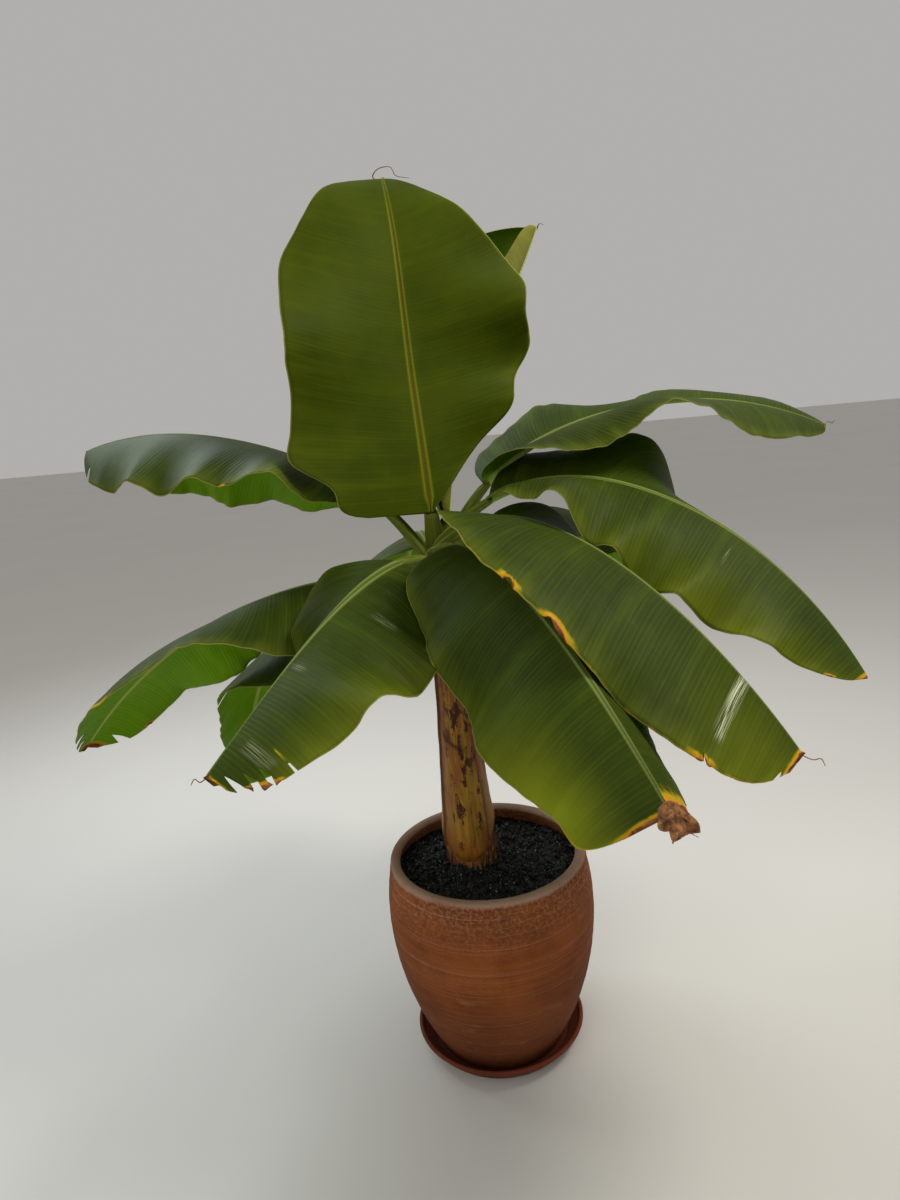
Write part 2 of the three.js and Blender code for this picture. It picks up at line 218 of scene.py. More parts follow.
# Withered thread and papery end
THREAD_RADIUS = 1.5
THREAD_STEPS = 24
THREAD_SIDES = 8
THREAD_FLAT = 0.7
THREAD_TAPER = 0.7
THREAD_UP = (0.3, 0.2, 1.0)
SCRAP_ROWS = 40
SCRAP_WIDTH = 34
SCRAP_LENGTH = 46
SCRAP_TURN = 2.2
SCRAP_ASIDE = 14
SCRAP_FOLD = 17
SCRAP_CRUMPLE = 16
SCRAP_HALF_THICK = 0.4
SCRAP_LEAST = 0.45
SCRAP_ROUND = 0.75
SCRAP_WIDEST = 0.12
SCRAP_REACH = 0.5
SCRAP_DROP = 0.42
SCRAP_BACK = 10
SCRAP_UP = 4
SCRAP_CUP = 30
SCRAP_FINER_FOLD = 2.3

# Stalks and the sheaths they grow from
SHEATH_LENGTH = 150
SHEATH_ARC = (76, 41.8)
SHEATH_WALL = 3.4
SHEATH_DRAW = 45
STACK_STEP = 0.6
STALK_HALF_WIDTH = (20, 13)
STALK_DEPTH = (15, 10)
STALK_GROOVE = (0.75, 0.35)
STALK_WALL = 1.2
STALK_OVERLAP = 12
STALK_SINK = 5
STALK_SIDES = 17
SHEATH_ROWS = 30
STALK_ROWS = 50
STALK_END_WIDTH = 0.6
STALK_END_DEPTH = 0.7
STALK_SHOULDER = 0.35
STALK_INSIDE = 0.86
STALK_ROOF = (40, -1.5)
STALK_SINKS_BEFORE = 12
STALK_ROOF_BEFORE = 10
STALK_SINK_FLATTENS = 0.3
STALK_SINK_LOWERS = 0.4
STALK_THINNEST = 1.0
SHEATH_RISE = 0.55
SHEATH_THINS = 0.8
SHEATH_SINKS = 0.45
SHEATH_INSIDE = 2
SHEATH_LEAST = 20
SHEATH_OPENS = (-50, 40)
SHEATH_BROWN = (25, -50)
CROWN_BELOW = 40

# start is where the midrib leaves the crown. stalk and blade are lengths along it, and half holds
# the widest left and right half blade, left as seen from the stem. widest and fullness shape the
# outline, and trim scales it at even steps. rise and heading give the midrib's direction at even
# steps, left and right each half blade's slope, curl how that slope changes towards the margin, and
# ripple the margin's waves: their slope, number and start. margin is how dry the left and right
# margins are. dry and pale list dried and faded spots as hand (2 for both), share along, half
# length, depth from the margin and strength; tears as hand, share along, half length and depth;
# worn, the pale scratched bands, as hand, share along, half length, first and last share out to the
# margin, and strength. ruffle is how steep the margin's small folds are. thread is the withered
# thread at the tip, as steps from the tip.
LEAVES = (
    dict(
        name="furled", start=(-24, 32, 1040), stalk=36, blade=586, half=(150, 138),
        widest=(1.5, 1.5), fullness=(0.42, 0.42), margin=(0.06, 0.06), ruffle=5,
        rise=(78, 63, 58, 66), heading=(84, 46, 18, 4),
        left=(80, 78, 74, 58, 34), right=(88, 88, 84, 62, 44),
        curl=((160, 140, 90), (150, 130, 60)), ripple=((0, 1, 0), (0, 1, 0)),
        trim=(
            (1, 1, 1, 1, 1, 1, 1, 1.05, 1.15, 1.3, 1.55, 1.8, 2),
            (1, 1, 1, 1, 1, 0.98, 0.92, 0.82, 0.7, 0.58, 0.5, 0.5, 0.6),
        ),
        thread=((0, 0, -4), (5, -3, 5), (13, -4, 3)),
    ),
    dict(
        name="upright", start=(-47, -24, 1030), stalk=72, blade=670, half=(246, 228),
        widest=(0.62, 1.15), fullness=(0.5, 0.8), margin=(0.03, 0.03), ruffle=4,
        rise=(84, 80, 80, 20), heading=(104, 110, 102, 94),
        left=(8, 6, 12, 8, 0), right=(-6, -4, 2, 4, -2),
        curl=((-4,), (-8,)), ripple=((10, 2.2, 0.23), (10, 3.9, 0.18)),
        trim=(
            (1.19, 0.87, 1.04, 0.95, 0.915, 0.96, 0.98, 0.98, 0.99, 0.92, 0.88, 0.87, 0.8),
            (0.83, 0.84, 0.95, 1.12, 1.04, 1.12, 0.98, 0.98, 0.88, 0.74, 0.64, 0.6, 0.6),
        ),
        dry=((2, 1, 0.008, 1, 0.8), (0, 0.985, 0.012, 0.1, 0.9)),
        thread=((0, 0, -6), (-17, -2, 3), (-6, -4, 16), (17, -6, 17), (26, -4, 2), (50, -8, -5)),
    ),
    dict(
        name="high_right", start=(-17, 31, 1040), stalk=122, blade=666, half=(190, 182),
        widest=(0.85, 0.85), fullness=(0.45, 0.45), margin=(0.03, 0.06),
        rise=(63, 23, -2, -28), heading=(8, 3, -3, -12),
        left=(18, 11, -1, 6, 4), right=(26, -8, -2, -18, -22),
        curl=((-29,), (-31,)), ripple=((10, 3.1, 0.41), (9, 2, 0.11)),
        dry=((0, 0.97, 0.012, 0.1, 0.95), (2, 1, 0.006, 1, 0.9)),
        thread=((-4, 0, 0), (3, 0, 7), (9, -3, 4), (14, -4, 9)),
    ),
    dict(
        name="right", start=(-31, -19, 1052), stalk=112, blade=723, half=(198, 188),
        widest=(0.86, 0.86), fullness=(0.43, 0.43), margin=(0.03, 0.12),
        rise=(48, -4, -32, -58), heading=(-11, -27, -43, -48),
        left=(21, 15, -25, -60, -60), right=(1, -4, -24, -22, -4),
        curl=((-28,), (-29,)), ripple=((21, 3.7, 0.14), (14, 5.2, -0.13)),
        dry=((2, 1, 0.006, 1, 0.9), (1, 0.95, 0.01, 0.06, 0.9)),
        worn=((1, 0.63, 0.0025, 0.25, 0.42, 0.4),),
        pale=((1, 0.7, 0.3, 0.7, 0.35), (0, 0.8, 0.3, 0.6, 0.3)),
    ),
    dict(
        name="high_left", start=(-61, 32, 1008), stalk=178, blade=572, half=(192, 185),
        widest=(0.85, 0.85), fullness=(0.44, 0.44), margin=(0.05, 0.05),
        rise=(63, 31, 10, -16), heading=(174, 173, 172, 163),
        left=(-17, -8, -24, -33, -49), right=(-38, -44, -50, -54, -57),
        curl=((-31,), (-30,)), ripple=((10, 4.3, 0.25), (9, 2.9, 0.24)),
        dry=((2, 1, 0.006, 1, 0.8), (0, 0.3, 0.007, 0.03, 0.9)),
        tears=((0, 0.93, 0.02, 0.4), (1, 0.8, 0.01, 0.2)),
    ),
    dict(
        name="front_right", start=(-31, -38, 1036), stalk=143, blade=637, half=(184, 200),
        widest=(0.87, 0.87), fullness=(0.36, 0.36), margin=(0.05, 0.2),
        rise=(40, -9, -41, -58), heading=(-56, -49, -36, -23),
        left=(16, -46, -62, -71, -66), right=(12, 4, -14, -18, -29),
        curl=((-31,), (-16,)), ripple=((8, 3, 0.46), (9, 2.4, 0.14)),
        trim=((1,), (1, 1, 1, 1, 1, 1, 1, 1, 1.03, 1.07, 1.1, 1.1, 1)),
        dry=(
            (1, 0.29, 0.022, 0.05, 1.1), (1, 0.41, 0.04, 0.045, 1.1), (1, 0.79, 0.03, 0.05, 1.1),
            (1, 0.93, 0.12, 0.022, 0.62), (2, 1, 0.014, 1.5, 1.1),
        ),
        tears=((1, 0.29, 0.012, 0.06), (1, 0.79, 0.014, 0.06), (1, 0.978, 0.006, 0.28)),
        worn=((1, 0.8, 0.014, 0, 0.72, 1),),
        pale=((1, 0.93, 0.16, 1.4, 0.5), (0, 0.93, 0.16, 1.4, 0.5)),
        thread=((-6, 0, 2), (10, -5, -6), (20, -9, -4), (25, -11, -14)),
    ),
    dict(
        name="front", start=(-45, -48, 1033), stalk=112, blade=616, half=(187, 166),
        widest=(0.89, 0.89), fullness=(0.34, 0.34), margin=(0.05, 0.14),
        rise=(24, -12, -30, -38), heading=(-69, -69, -68, -69),
        left=(-41, -51, -49, -47, -46), right=(-12, -34, -44, -48, -48),
        curl=((-30,), (-35,)), ripple=((9, 3.1, 0.13), (11, 3.2, 0.06)),
        trim=((1,), (1, 1, 1, 1, 1, 1.02, 1.06, 1.1, 1.13, 1.14, 1.15, 1.2, 1.75)),
        dry=((0, 1, 0.04, 1.6, 1), (1, 1, 0.01, 1.6, 0.95), (1, 0.97, 0.08, 0.035, 0.5)),
        tears=((0, 0.955, 0.012, 0.4),),
        pale=((1, 0.84, 0.2, 0.75, 1), (0, 0.85, 0.2, 0.5, 0.4)),
    ),
    dict(
        name="front_left", start=(-54, -38, 1020), stalk=114, blade=504, half=(189, 196),
        widest=(0.84, 0.84), fullness=(0.43, 0.43), margin=(0.16, 0.06),
        rise=(17, -9, -30, -41), heading=(244, 240, 232, 220),
        left=(-20, -36, -24, -8, -28), right=(2, -28, -70, -76, -62),
        curl=((-28,), (-29,)), ripple=((12, 3.9, -0.28), (9, 4, 0.05)),
        dry=(
            (2, 1, 0.012, 1.5, 1.1), (0, 0.835, 0.003, 0.4, 0.42), (0, 0.88, 0.014, 0.05, 1),
            (0, 0.915, 0.016, 0.12, 1.1), (0, 0.95, 0.02, 0.16, 1.05),
        ),
        tears=(
            (0, 0.835, 0.004, 0.35), (0, 0.895, 0.011, 0.4), (0, 0.93, 0.012, 0.5),
            (0, 0.965, 0.012, 0.7), (1, 0.95, 0.016, 0.7),
        ),
        worn=(
            (0, 0.33, 0.016, 0.3, 0.5, 0.35), (0, 0.62, 0.012, 0.08, 0.2, 0.3),
            (0, 0.87, 0.02, 0.25, 0.75, 0.3),
        ),
        pale=((0, 0.68, 0.3, 0.6, 0.3),),
        thread=((6, 4, 2), (-4, -2, -3), (-10, -4, 3), (-16, -5, -5)),
    ),
    dict(
        name="low_left", start=(-67, 29, 980), stalk=132, blade=608, half=(191, 178),
        widest=(0.84, 0.84), fullness=(0.45, 0.45), margin=(0.1, 0.06),
        rise=(13, -9, -32, -52), heading=(190, 190, 188, 184),
        left=(-39, -25, 2, 14, 0), right=(-49, -43, -44, -41, -46),
        curl=((-29,), (-30,)), ripple=((10, 1.9, 0.41), (12, 2.1, 0.59)),
        dry=((2, 1, 0.015, 1.5, 1.1), (0, 0.72, 0.06, 0.08, 0.5), (1, 0.86, 0.02, 0.06, 0.9)),
        tears=((0, 0.915, 0.012, 0.5), (0, 0.955, 0.012, 0.65), (1, 0.95, 0.014, 0.5)),
    ),
    dict(
        name="rear_left", start=(-55, 39, 940), stalk=146, blade=590, half=(196, 185),
        widest=(0.85, 0.85), fullness=(0.45, 0.45), margin=(0.08, 0.08),
        rise=(12, -20, -52, -74), heading=(154, 151, 146, 142),
        left=(-60, -40, -20, -16, -20), right=(-40, -58, -66, -62, -55),
        curl=((-28,), (-30,)), ripple=((10, 2, 0.19), (8, 2, 0)),
        dry=((2, 1, 0.02, 1.5, 1),),
        tears=((0, 0.55, 0.01, 0.3), (1, 0.8, 0.012, 0.4)),
    ),
    dict(
        name="rear_right", start=(-15, 20, 985), stalk=135, blade=600, half=(188, 188),
        widest=(0.86, 0.86), fullness=(0.44, 0.44), margin=(0.06, 0.1),
        rise=(42, 0, -32, -55), heading=(48, 44, 40, 34),
        left=(-20, -26, -34, -38, -30), right=(-12, -24, -36, -44, -36),
        curl=((-28,), (-28,)), ripple=((9, 3.2, 0.3), (10, 2.6, 0.1)),
        dry=((2, 1, 0.02, 1.5, 1.05), (1, 0.86, 0.02, 0.06, 1)),
        tears=((0, 0.7, 0.012, 0.4), (1, 0.86, 0.014, 0.5)),
        thread=((0, 0, 0), (8, 6, -6), (14, 9, -2), (20, 13, -9)),
    ),
    dict(
        name="rear", start=(-42, 32, 965), stalk=128, blade=585, half=(186, 186),
        widest=(0.86, 0.86), fullness=(0.44, 0.44), margin=(0.1, 0.08),
        rise=(38, -4, -38, -60), heading=(98, 100, 102, 104),
        left=(-18, -28, -38, -42, -34), right=(-16, -28, -36, -38, -34),
        curl=((-28,), (-28,)), ripple=((10, 2.8, 0.2), (9, 3.3, 0.4)),
        dry=((2, 1, 0.025, 1.5, 1.05), (0, 0.62, 0.02, 0.06, 1)),
        tears=((0, 0.62, 0.012, 0.4), (1, 0.8, 0.012, 0.4), (1, 0.5, 0.01, 0.25)),
    ),
)

rng = np.random.default_rng(CRUMB_SEEDS[0])


def along(stations, t):
    """Value at share t of evenly spaced stations, on a smooth curve through them."""
    values = np.asarray(stations, float)
    t = np.asarray(t, float)
    last = len(values) - 1
    if last == 0:
        return np.full(t.shape, values[0])
    place = np.clip(t, 0, 1) * last
    i = np.minimum(place.astype(int), last - 1)
    f = place - i
    here = values[i]
    after = values[i + 1]
    before = np.where(i > 0, values[np.maximum(i - 1, 0)], 2 * here - after)
    beyond = np.where(i + 2 <= last, values[np.minimum(i + 2, last)], 2 * after - here)
    cubic = 3 * (here - after) + beyond - before
    square = 2 * before - 5 * here + 4 * after - beyond
    return here + 0.5 * f * (after - before + f * (square + f * cubic))


def smooth(low, high, x):
    """0 below low, 1 above high, and a soft step between."""
    t = np.clip((np.asarray(x, float) - low) / (high - low), 0, 1)
    return t * t * (3 - 2 * t)


def bell(x, width, power=2):
    """1 where x is 0, falling away on both sides over about width."""
    return np.exp(-((x / width) ** power))


def mixed(pair, t):
    return pair[0] + (pair[1] - pair[0]) * t


def unit(vectors):
    return vectors / np.maximum(np.linalg.norm(vectors, axis=-1, keepdims=True), 1e-9)


def read(places, known, values):
    """Each column of values, known at some places, read at others."""
    return np.stack([np.interp(places, known, column) for column in np.transpose(values)], -1)


def wander(x, seed, octaves=3):
    """Smooth noise from about -1 to 1 along x."""
    places = [Vector((float(v), seed * WANDER_APART, 0.5)) for v in np.ravel(x)]
    found = [noise.fractal(place, *WANDER_NOISE, octaves) for place in places]
    return np.reshape(found, np.shape(x))


def crinkle(spot):
    """A push in three directions that changes smoothly with the place, the same in each run."""
    return np.array([noise.noise(Vector(spot) + Vector(shift)) for shift in CRINKLE_SHIFTS])


def round_points(x, y, reach, turn, z):
    """Points at a reach round centres x and y, at heights z."""
    spots = np.broadcast_arrays(x + reach * np.cos(turn), y + reach * np.sin(turn), z)
    return np.stack(spots, -1)


def grid_faces(rows, columns, offset=0, closed=False):
    """Quads over a grid of points, row by row; closed joins the last column to the first."""
    r = np.arange(rows - 1)[:, None]
    c = np.arange(columns if closed else columns - 1)[None, :]
    n = (c + 1) % columns
    quads = [r * columns + c, r * columns + n, (r + 1) * columns + n, (r + 1) * columns + c]
    return np.stack(np.broadcast_arrays(*quads), -1).reshape(-1, 4) + offset


def round_faces(rows, sides, from_top=False):
    """Faces over rings of points, closed at two poles that follow them; from_top if rings go down."""
    quads = grid_faces(rows, sides, closed=True)
    faces = (quads[:, ::-1] if from_top else quads).tolist()
    first_pole = rows * sides
    last_ring = first_pole - sides
    for k in range(sides):
        pair = (k, (k + 1) % sides) if from_top else ((k + 1) % sides, k)
        faces.append((first_pole, *pair))
        faces.append((first_pole + 1, last_ring + pair[1], last_ring + pair[0]))
    return faces


def shell(top, below):
    """A closed thin shell between two grids of points: points, faces, and 1 for each face below."""
    count, columns = top.shape[:2]
    size = count * columns
    upper = grid_faces(count, columns)
    lower = grid_faces(count, columns, size)[:, ::-1]
    number = np.arange(size).reshape(count, columns)
    ring = np.concatenate([number[0], number[1:, -1], number[-1, -2::-1], number[-2:0:-1, 0]])
    after = np.roll(ring, -1)
    rim = np.stack([ring, ring + size, after + size, after], -1)
    turn = np.cross(top[0, 1] - top[0, 0], top[1, 1] - top[0, 1])
    if np.dot(turn, top[0, 0] - below[0, 0]) < 0:
        upper, lower, rim = upper[:, ::-1], lower[:, ::-1], rim[:, ::-1]
    points = np.concatenate([top.reshape(-1, 3), below.reshape(-1, 3)])
    is_below = np.concatenate([np.zeros(len(upper)), np.ones(len(lower)), np.zeros(len(rim))])
    return points, np.vstack([upper, lower, rim]), is_below


def new_object(name, data):
    made = bpy.data.objects.new(name, data)
    bpy.context.scene.collection.objects.link(made)
    return made


def new_plain(name, points, faces):
    """An object from points in millimetres."""
    mesh = bpy.data.meshes.new(name)
    corners = faces.tolist() if hasattr(faces, "tolist") else faces
    mesh.from_pydata(np.asarray(points) * MM, [], corners)
    return new_object(name, mesh)


def new_piece(name, points, faces, materials, nodes=(), face_materials=None):
    """A smooth-shaded mesh that rides on the plant's one body."""
    piece = new_plain(name, points, faces)
    mesh = piece.data
    for material in materials:
        mesh.materials.append(material)
    if face_materials is not None:
        mesh.polygons.foreach_set("material_index", np.asarray(face_materials, np.int32))
    mesh.polygons.foreach_set("use_smooth", np.ones(len(mesh.polygons), bool))
    mesh.update()
    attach(piece, BODY)
    if nodes:
        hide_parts(*nodes)
    return piece


def point_attribute(piece, name, values):
    """Stores one number, or three, for each point of a piece."""
    values = np.asarray(values, np.float32)
    single = values.size == len(piece.data.vertices)
    layer = piece.data.attributes.new(name, "FLOAT" if single else "FLOAT_VECTOR", "POINT")
    layer.data.foreach_set("value" if single else "vector", values.ravel())


def shade(red, green, blue):
    """A colour from its eight-bit screen values."""
    shares = [value / 255 for value in (red, green, blue)]
    parts = [(v + 0.055) ** 2.4 / 1.055**2.4 if v > 0.04 else v / 12.92 for v in shares]
    return (*parts, 1.0)


def shades(*colours):
    return [shade(*colour) for colour in colours]


# Leaf colours; each list is deep green, light green, a painted sheen, and the midrib's lips and channel
LEAF_TOP = shades((36, 48, 5), (74, 92, 14), (86, 102, 30), (122, 134, 64), (74, 88, 30))
# Underside greens: the blade's own paler underside, brightened further as painted light shining through it
LEAF_UNDER_PAINTED_GLOW = shades((90, 134, 8), (128, 176, 20), (140, 172, 60), (160, 178, 88), (160, 178, 88))
YOUNG_TOP = shades((50, 61, 1), (71, 84, 3), (80, 90, 10), (104, 112, 20), (82, 76, 14))
# Also brightened as painted light shining through the blade
YOUNG_UNDER_PAINTED_GLOW = shades((78, 106, 8), (112, 138, 24), (140, 172, 60), (160, 178, 88), (160, 178, 88))
# The furled blade's inner green is made lighter, as painted light shining through it where it lies in
# shade
ROLLED_TOP_PAINTED_GLOW = shades((66, 92, 6), (98, 122, 20), (80, 90, 10), (176, 188, 122), (176, 188, 122))
ROLLED_UNDER = shades((96, 98, 36), (140, 140, 66), (140, 140, 66), (176, 188, 122), (176, 188, 122))
LEAF_FADED = shade(124, 134, 20)
RIM_YELLOW_GREEN = shade(116, 124, 26)
PALE_EDGE = shade(176, 170, 92)
YELLOWED = shade(172, 146, 24)
AMBER = shade(204, 124, 24)
BROWNED = shade(146, 100, 64)
BURNT = shade(62, 40, 26)
SCRATCH_PALE = shade(196, 200, 168)

# Stalk and stem colours; the stalks' pairs are green and pale
STALK_GREENS = shades((72, 84, 22), (114, 124, 46))
YOUNG_STALK_GREENS = shades((56, 64, 12), (80, 88, 24))
STALK_STRAW = shade(128, 104, 38)
STEM_STRAW = shade(152, 110, 26)
STEM_OLIVE = shade(98, 80, 18)
STEM_LAP = shade(148, 98, 60)
STEM_LIGHT = shade(180, 142, 62)
STEM_RUDDY = shade(124, 66, 30)
STEM_BROWN = shade(72, 38, 20)
STEM_BLOTCH = shade(50, 27, 14)
STEM_FOOT_BROWN = shade(54, 34, 20)
SCRAP_BROWN = shade(84, 52, 30)
SCRAP_TAN = shade(156, 108, 66)

# Clay, soil and floor colours; the clays' lists are deep, light and bloom
POT_CLAY = shades((100, 48, 17), (138, 75, 31), (176, 134, 104))
SAUCER_CLAY = shades((102, 43, 26), (136, 64, 42), (172, 114, 92))
RIM_BLOOM_AND_HIGHLIGHT = shade(166, 140, 124)
CLAY_SPECK = shade(62, 36, 24)
# Dark damp clay, also laid as painted shade towards the foot
CLAY_DAMP_AND_SHADE = shade(82, 42, 24)
SOIL_BLACK = shade(8, 7, 8)
SOIL_BROWN = shade(27, 24, 25)
SOIL_PAINTED_GLINT = shade(148, 150, 160)
FLOOR_GREY = shade(214, 212, 207)
FLOOR_CLOUD = shade(206, 204, 199)


def add_node(tree, kind, inputs=(), **settings):
    made = tree.nodes.new(kind)
    for key, value in settings.items():
        setattr(made, key, value)
    for key, value in dict(inputs).items():
        if isinstance(value, bpy.types.NodeSocket):
            tree.links.new(value, made.inputs[key])
        else:
            made.inputs[key].default_value = value
    return made


class Coat:
    """A material that is being made, and the colour laid on it so far."""

    def __init__(self, name, base, roughness, specular):
        self.material = bpy.data.materials.new(name)
        self.material.use_nodes = True
        self.tree = self.material.node_tree
        self.shader = self.tree.nodes["Principled BSDF"]
        self.shader.inputs["Roughness"].default_value = roughness
        self.shader.inputs["Specular IOR Level"].default_value = specular
        self.colour = base

    def calc(self, operation, a, b=0.0):
        return add_node(self.tree, "ShaderNodeMath", {0: a, 1: b}, operation=operation).outputs[0]

    def times(self, a, b):
        return self.calc("MULTIPLY", a, b)

    def plus(self, a, b):
        return self.calc("ADD", a, b)

    def step(self, value, low, high):
        """0 below low and 1 above high, softly."""
        inputs = {"Value": value, "From Min": low, "From Max": high}
        made = add_node(self.tree, "ShaderNodeMapRange", inputs, interpolation_type="SMOOTHSTEP")
        return made.outputs[0]

    def place(self):
        return add_node(self.tree, "ShaderNodeTexCoord").outputs["Object"]

    def point(self, x, y, z):
        return add_node(self.tree, "ShaderNodeCombineXYZ", {0: x, 1: y, 2: z}).outputs[0]

    def parts(self, vector):
        return add_node(self.tree, "ShaderNodeSeparateXYZ", {0: vector}).outputs

    def own(self, name):
        """A number that the piece holds for each point."""
        return add_node(self.tree, "ShaderNodeAttribute", attribute_name=name).outputs["Fac"]

    def own_parts(self, name):
        """Three numbers that the piece holds for each point."""
        source = add_node(self.tree, "ShaderNodeAttribute", attribute_name=name)
        return self.parts(source.outputs["Vector"])

    def grain(self, vector, scale, detail=3.0, roughness=0.6):
        """Noise over a place, with about scale changes a metre."""
        inputs = {"Vector": vector, "Scale": scale, "Detail": detail, "Roughness": roughness}
        return add_node(self.tree, "ShaderNodeTexNoise", inputs).outputs["Fac"]

    def streaks(self, x, y, per_x, per_y, shift=0.0, detail=3.0, roughness=0.6):
        """Noise over two lengths, with about per_x and per_y changes a metre along them."""
        place = self.point(self.times(x, per_x), self.times(y, per_y), shift)
        return self.grain(place, 1.0, detail, roughness)

    def blend(self, under, cover, over, strength=1.0):
        inputs = {0: cover if strength == 1.0 else self.times(cover, strength), 6: under, 7: over}
        return add_node(self.tree, "ShaderNodeMix", inputs, data_type="RGBA").outputs[2]

    def lay(self, cover, colour, strength=1.0):
        """Lays a colour over the others where cover is near 1."""
        self.colour = self.blend(self.colour, cover, colour, strength)

    def lay_steps(self, *rows):
        """Lays colours by rows: a pattern, where it begins and is full, the colour and how strong."""
        for pattern, low, high, *colour_and_strength in rows:
            self.lay(self.step(pattern, low, high), *colour_and_strength)

    def finished(self, height=None, depth=0.0, rough=None):
        """The material with its colour, the height's relief of that depth, and any varied roughness."""
        self.tree.links.new(self.colour, self.shader.inputs["Base Color"])
        if rough is not None:
            self.tree.links.new(rough, self.shader.inputs["Roughness"])
        if height is not None:
            bump = add_node(self.tree, "ShaderNodeBump", {"Height": height, "Distance": depth})
            self.tree.links.new(bump.outputs[0], self.shader.inputs["Normal"])
        return self.material


def leaf_finish(name, colours, patches=0.3, veins=0.12, rim=0.3, specular=0.07, roughness=0.56):
    """One side of a blade: fine side veins, painted sheen patches, a channelled midrib, and dry margins,
    spots and tip.
    """
    deep, light, painted_sheen, lip, channel = colours
    coat = Coat(name, deep, roughness, specular)
    times, plus = coat.times, coat.plus
    vein, across, margin = coat.own_parts("blade")
    lips, channels, dried = coat.own_parts("marks")
    soft = coat.streaks(vein, across, 26, 3)
    fine = coat.streaks(vein, across, 420, 4, detail=2.0)
    broad = coat.streaks(vein, across, 6, 5, 4.0)
    cells = coat.streaks(vein, across, 60, 60, 9.0)
    scratches = coat.streaks(vein, across, 900, 12, 15.0, 2.0)
    turn = plus(times(vein, 2 * math.pi / VEIN_PITCH), times(soft, VEIN_WANDER))
    line = coat.calc("POWER", plus(times(coat.calc("SINE", turn), 0.5), 0.5), 2.0)
    coat.lay_steps(
        (broad, 0.3, 0.7, light, patches),
        (soft, 0.5, 0.75, light, 0.4),
        (soft, 0.5, 0.25, deep, 0.45),
        (fine, 0.45, 0.8, light, 0.35),
    )
    coat.lay(line, light, veins)
    # Painted sheen: pale patches that stand in for light glancing off the blade
    coat.lay_steps((cells, 0.55, 0.8, painted_sheen, 0.16))
    coat.lay(times(coat.own("faded"), plus(soft, 0.5)), LEAF_FADED)
    coat.lay_steps((plus(margin, times(soft, 0.3)), 0.9, 1.25, RIM_YELLOW_GREEN, rim))
    coat.lay(channels, channel)
    coat.lay(lips, lip)
    coat.lay_steps((margin, 0.986, 0.997, PALE_EDGE, 0.4))
    coat.lay(times(coat.own("worn"), coat.step(scratches, 0.47, 0.6)), SCRATCH_PALE)
    rags = plus(times(cells, 0.45), times(soft, 0.35))
    dry = plus(dried, times(plus(rags, -0.4), coat.step(dried, 0.02, 0.14)))
    tan = coat.step(coat.streaks(vein, across, 90, 25, 21.0), 0.3, 0.7)
    coat.lay_steps(
        (dry, 0.1, 0.42, YELLOWED),
        (dry, 0.5, 0.62, AMBER),
        (dry, 0.66, 0.76, coat.blend(SCRAP_BROWN, tan, BROWNED)),
        (dry, 0.98, 1.15, BURNT),
    )
    rough = plus(times(soft, 0.14), roughness - 0.07)
    rough = plus(rough, times(coat.step(dry, 0.4, 0.7), 0.35))
    height = plus(times(line, veins * 4), times(fine, 0.5))
    crumple = times(times(cells, 6.0), coat.step(dry, 0.5, 0.8))
    return coat.finished(plus(height, crumple), depth=0.0005, rough=rough)


def stalk_finish(name, greens):
    """Pale green leaf stalks with lengthwise streaks, browner where they wrap the stem."""
    coat = Coat(name, greens[0], roughness=0.55, specular=0.08)
    length, around, low = coat.own_parts("blade")
    streak = coat.streaks(length, around, 5, 14)
    spots = coat.streaks(length, around, 45, 16)
    coat.lay_steps((streak, 0.3, 0.7, greens[1]))
    coat.lay(coat.times(low, coat.step(streak, 0.25, 0.6)), STALK_STRAW)
    coat.lay(coat.times(coat.step(spots, 0.6, 0.7), coat.plus(low, 0.1)), STEM_BLOTCH)
    return coat.finished(streak, depth=0.0006)


def stem_finish():
    """Straw-coloured leaf sheaths with brown blotches, dark edges with painted shadow beside them, and a
    fibrous brown foot.
    """
    coat = Coat("sheath_skin", STEM_STRAW, roughness=0.5, specular=0.16)
    times, plus = coat.times, coat.plus
    around, height, edge = coat.own_parts("sheath")
    foot = coat.own("foot")
    x = times(around, STEM_GIRTH)
    streak = coat.streaks(x, height, 320, 5, detail=4.0)
    broad = coat.streaks(x, height, 16, 5)
    blots = coat.streaks(x, height, 58, 20, 2.0, 6.0, 0.7)
    runs = coat.streaks(x, height, 60, 8, 7.0, 5.0, 0.7)
    drops = coat.streaks(x, height, 230, 80, 5.0, 2.0)
    upper = times(coat.step(height, 0.1, 0.3), 0.1)
    blotted = plus(blots, times(upper, 0.6))
    coat.lay_steps(
        (broad, 0.42, 0.7, STEM_OLIVE),
        (streak, 0.42, 0.7, STEM_LIGHT, 0.4),
        (streak, 0.46, 0.26, STEM_RUDDY, 0.34),
        (plus(runs, upper), 0.5, 0.62, STEM_RUDDY, 0.8),
        (blotted, 0.56, 0.6, STEM_BROWN),
        (blotted, 0.6, 0.66, STEM_BLOTCH),
        (drops, 0.7, 0.76, STEM_BROWN),
    )
    coat.lay(coat.own("lap"), STEM_LAP, 0.6)
    coat.lay_steps((height, 0.1, 0.02, STEM_RUDDY, 0.55))
    # edge holds the dark sheath edges, the scar, and a painted shadow band beside each sheath edge
    coat.lay(edge, STEM_BROWN, 0.9)
    coat.lay(foot, coat.blend(STEM_FOOT_BROWN, coat.step(streak, 0.4, 0.7), SCRAP_TAN))
    rough = plus(times(blots, 0.3), plus(times(foot, 0.35), 0.3))
    return coat.finished(plus(streak, times(blots, 0.8)), depth=0.0009, rough=rough)


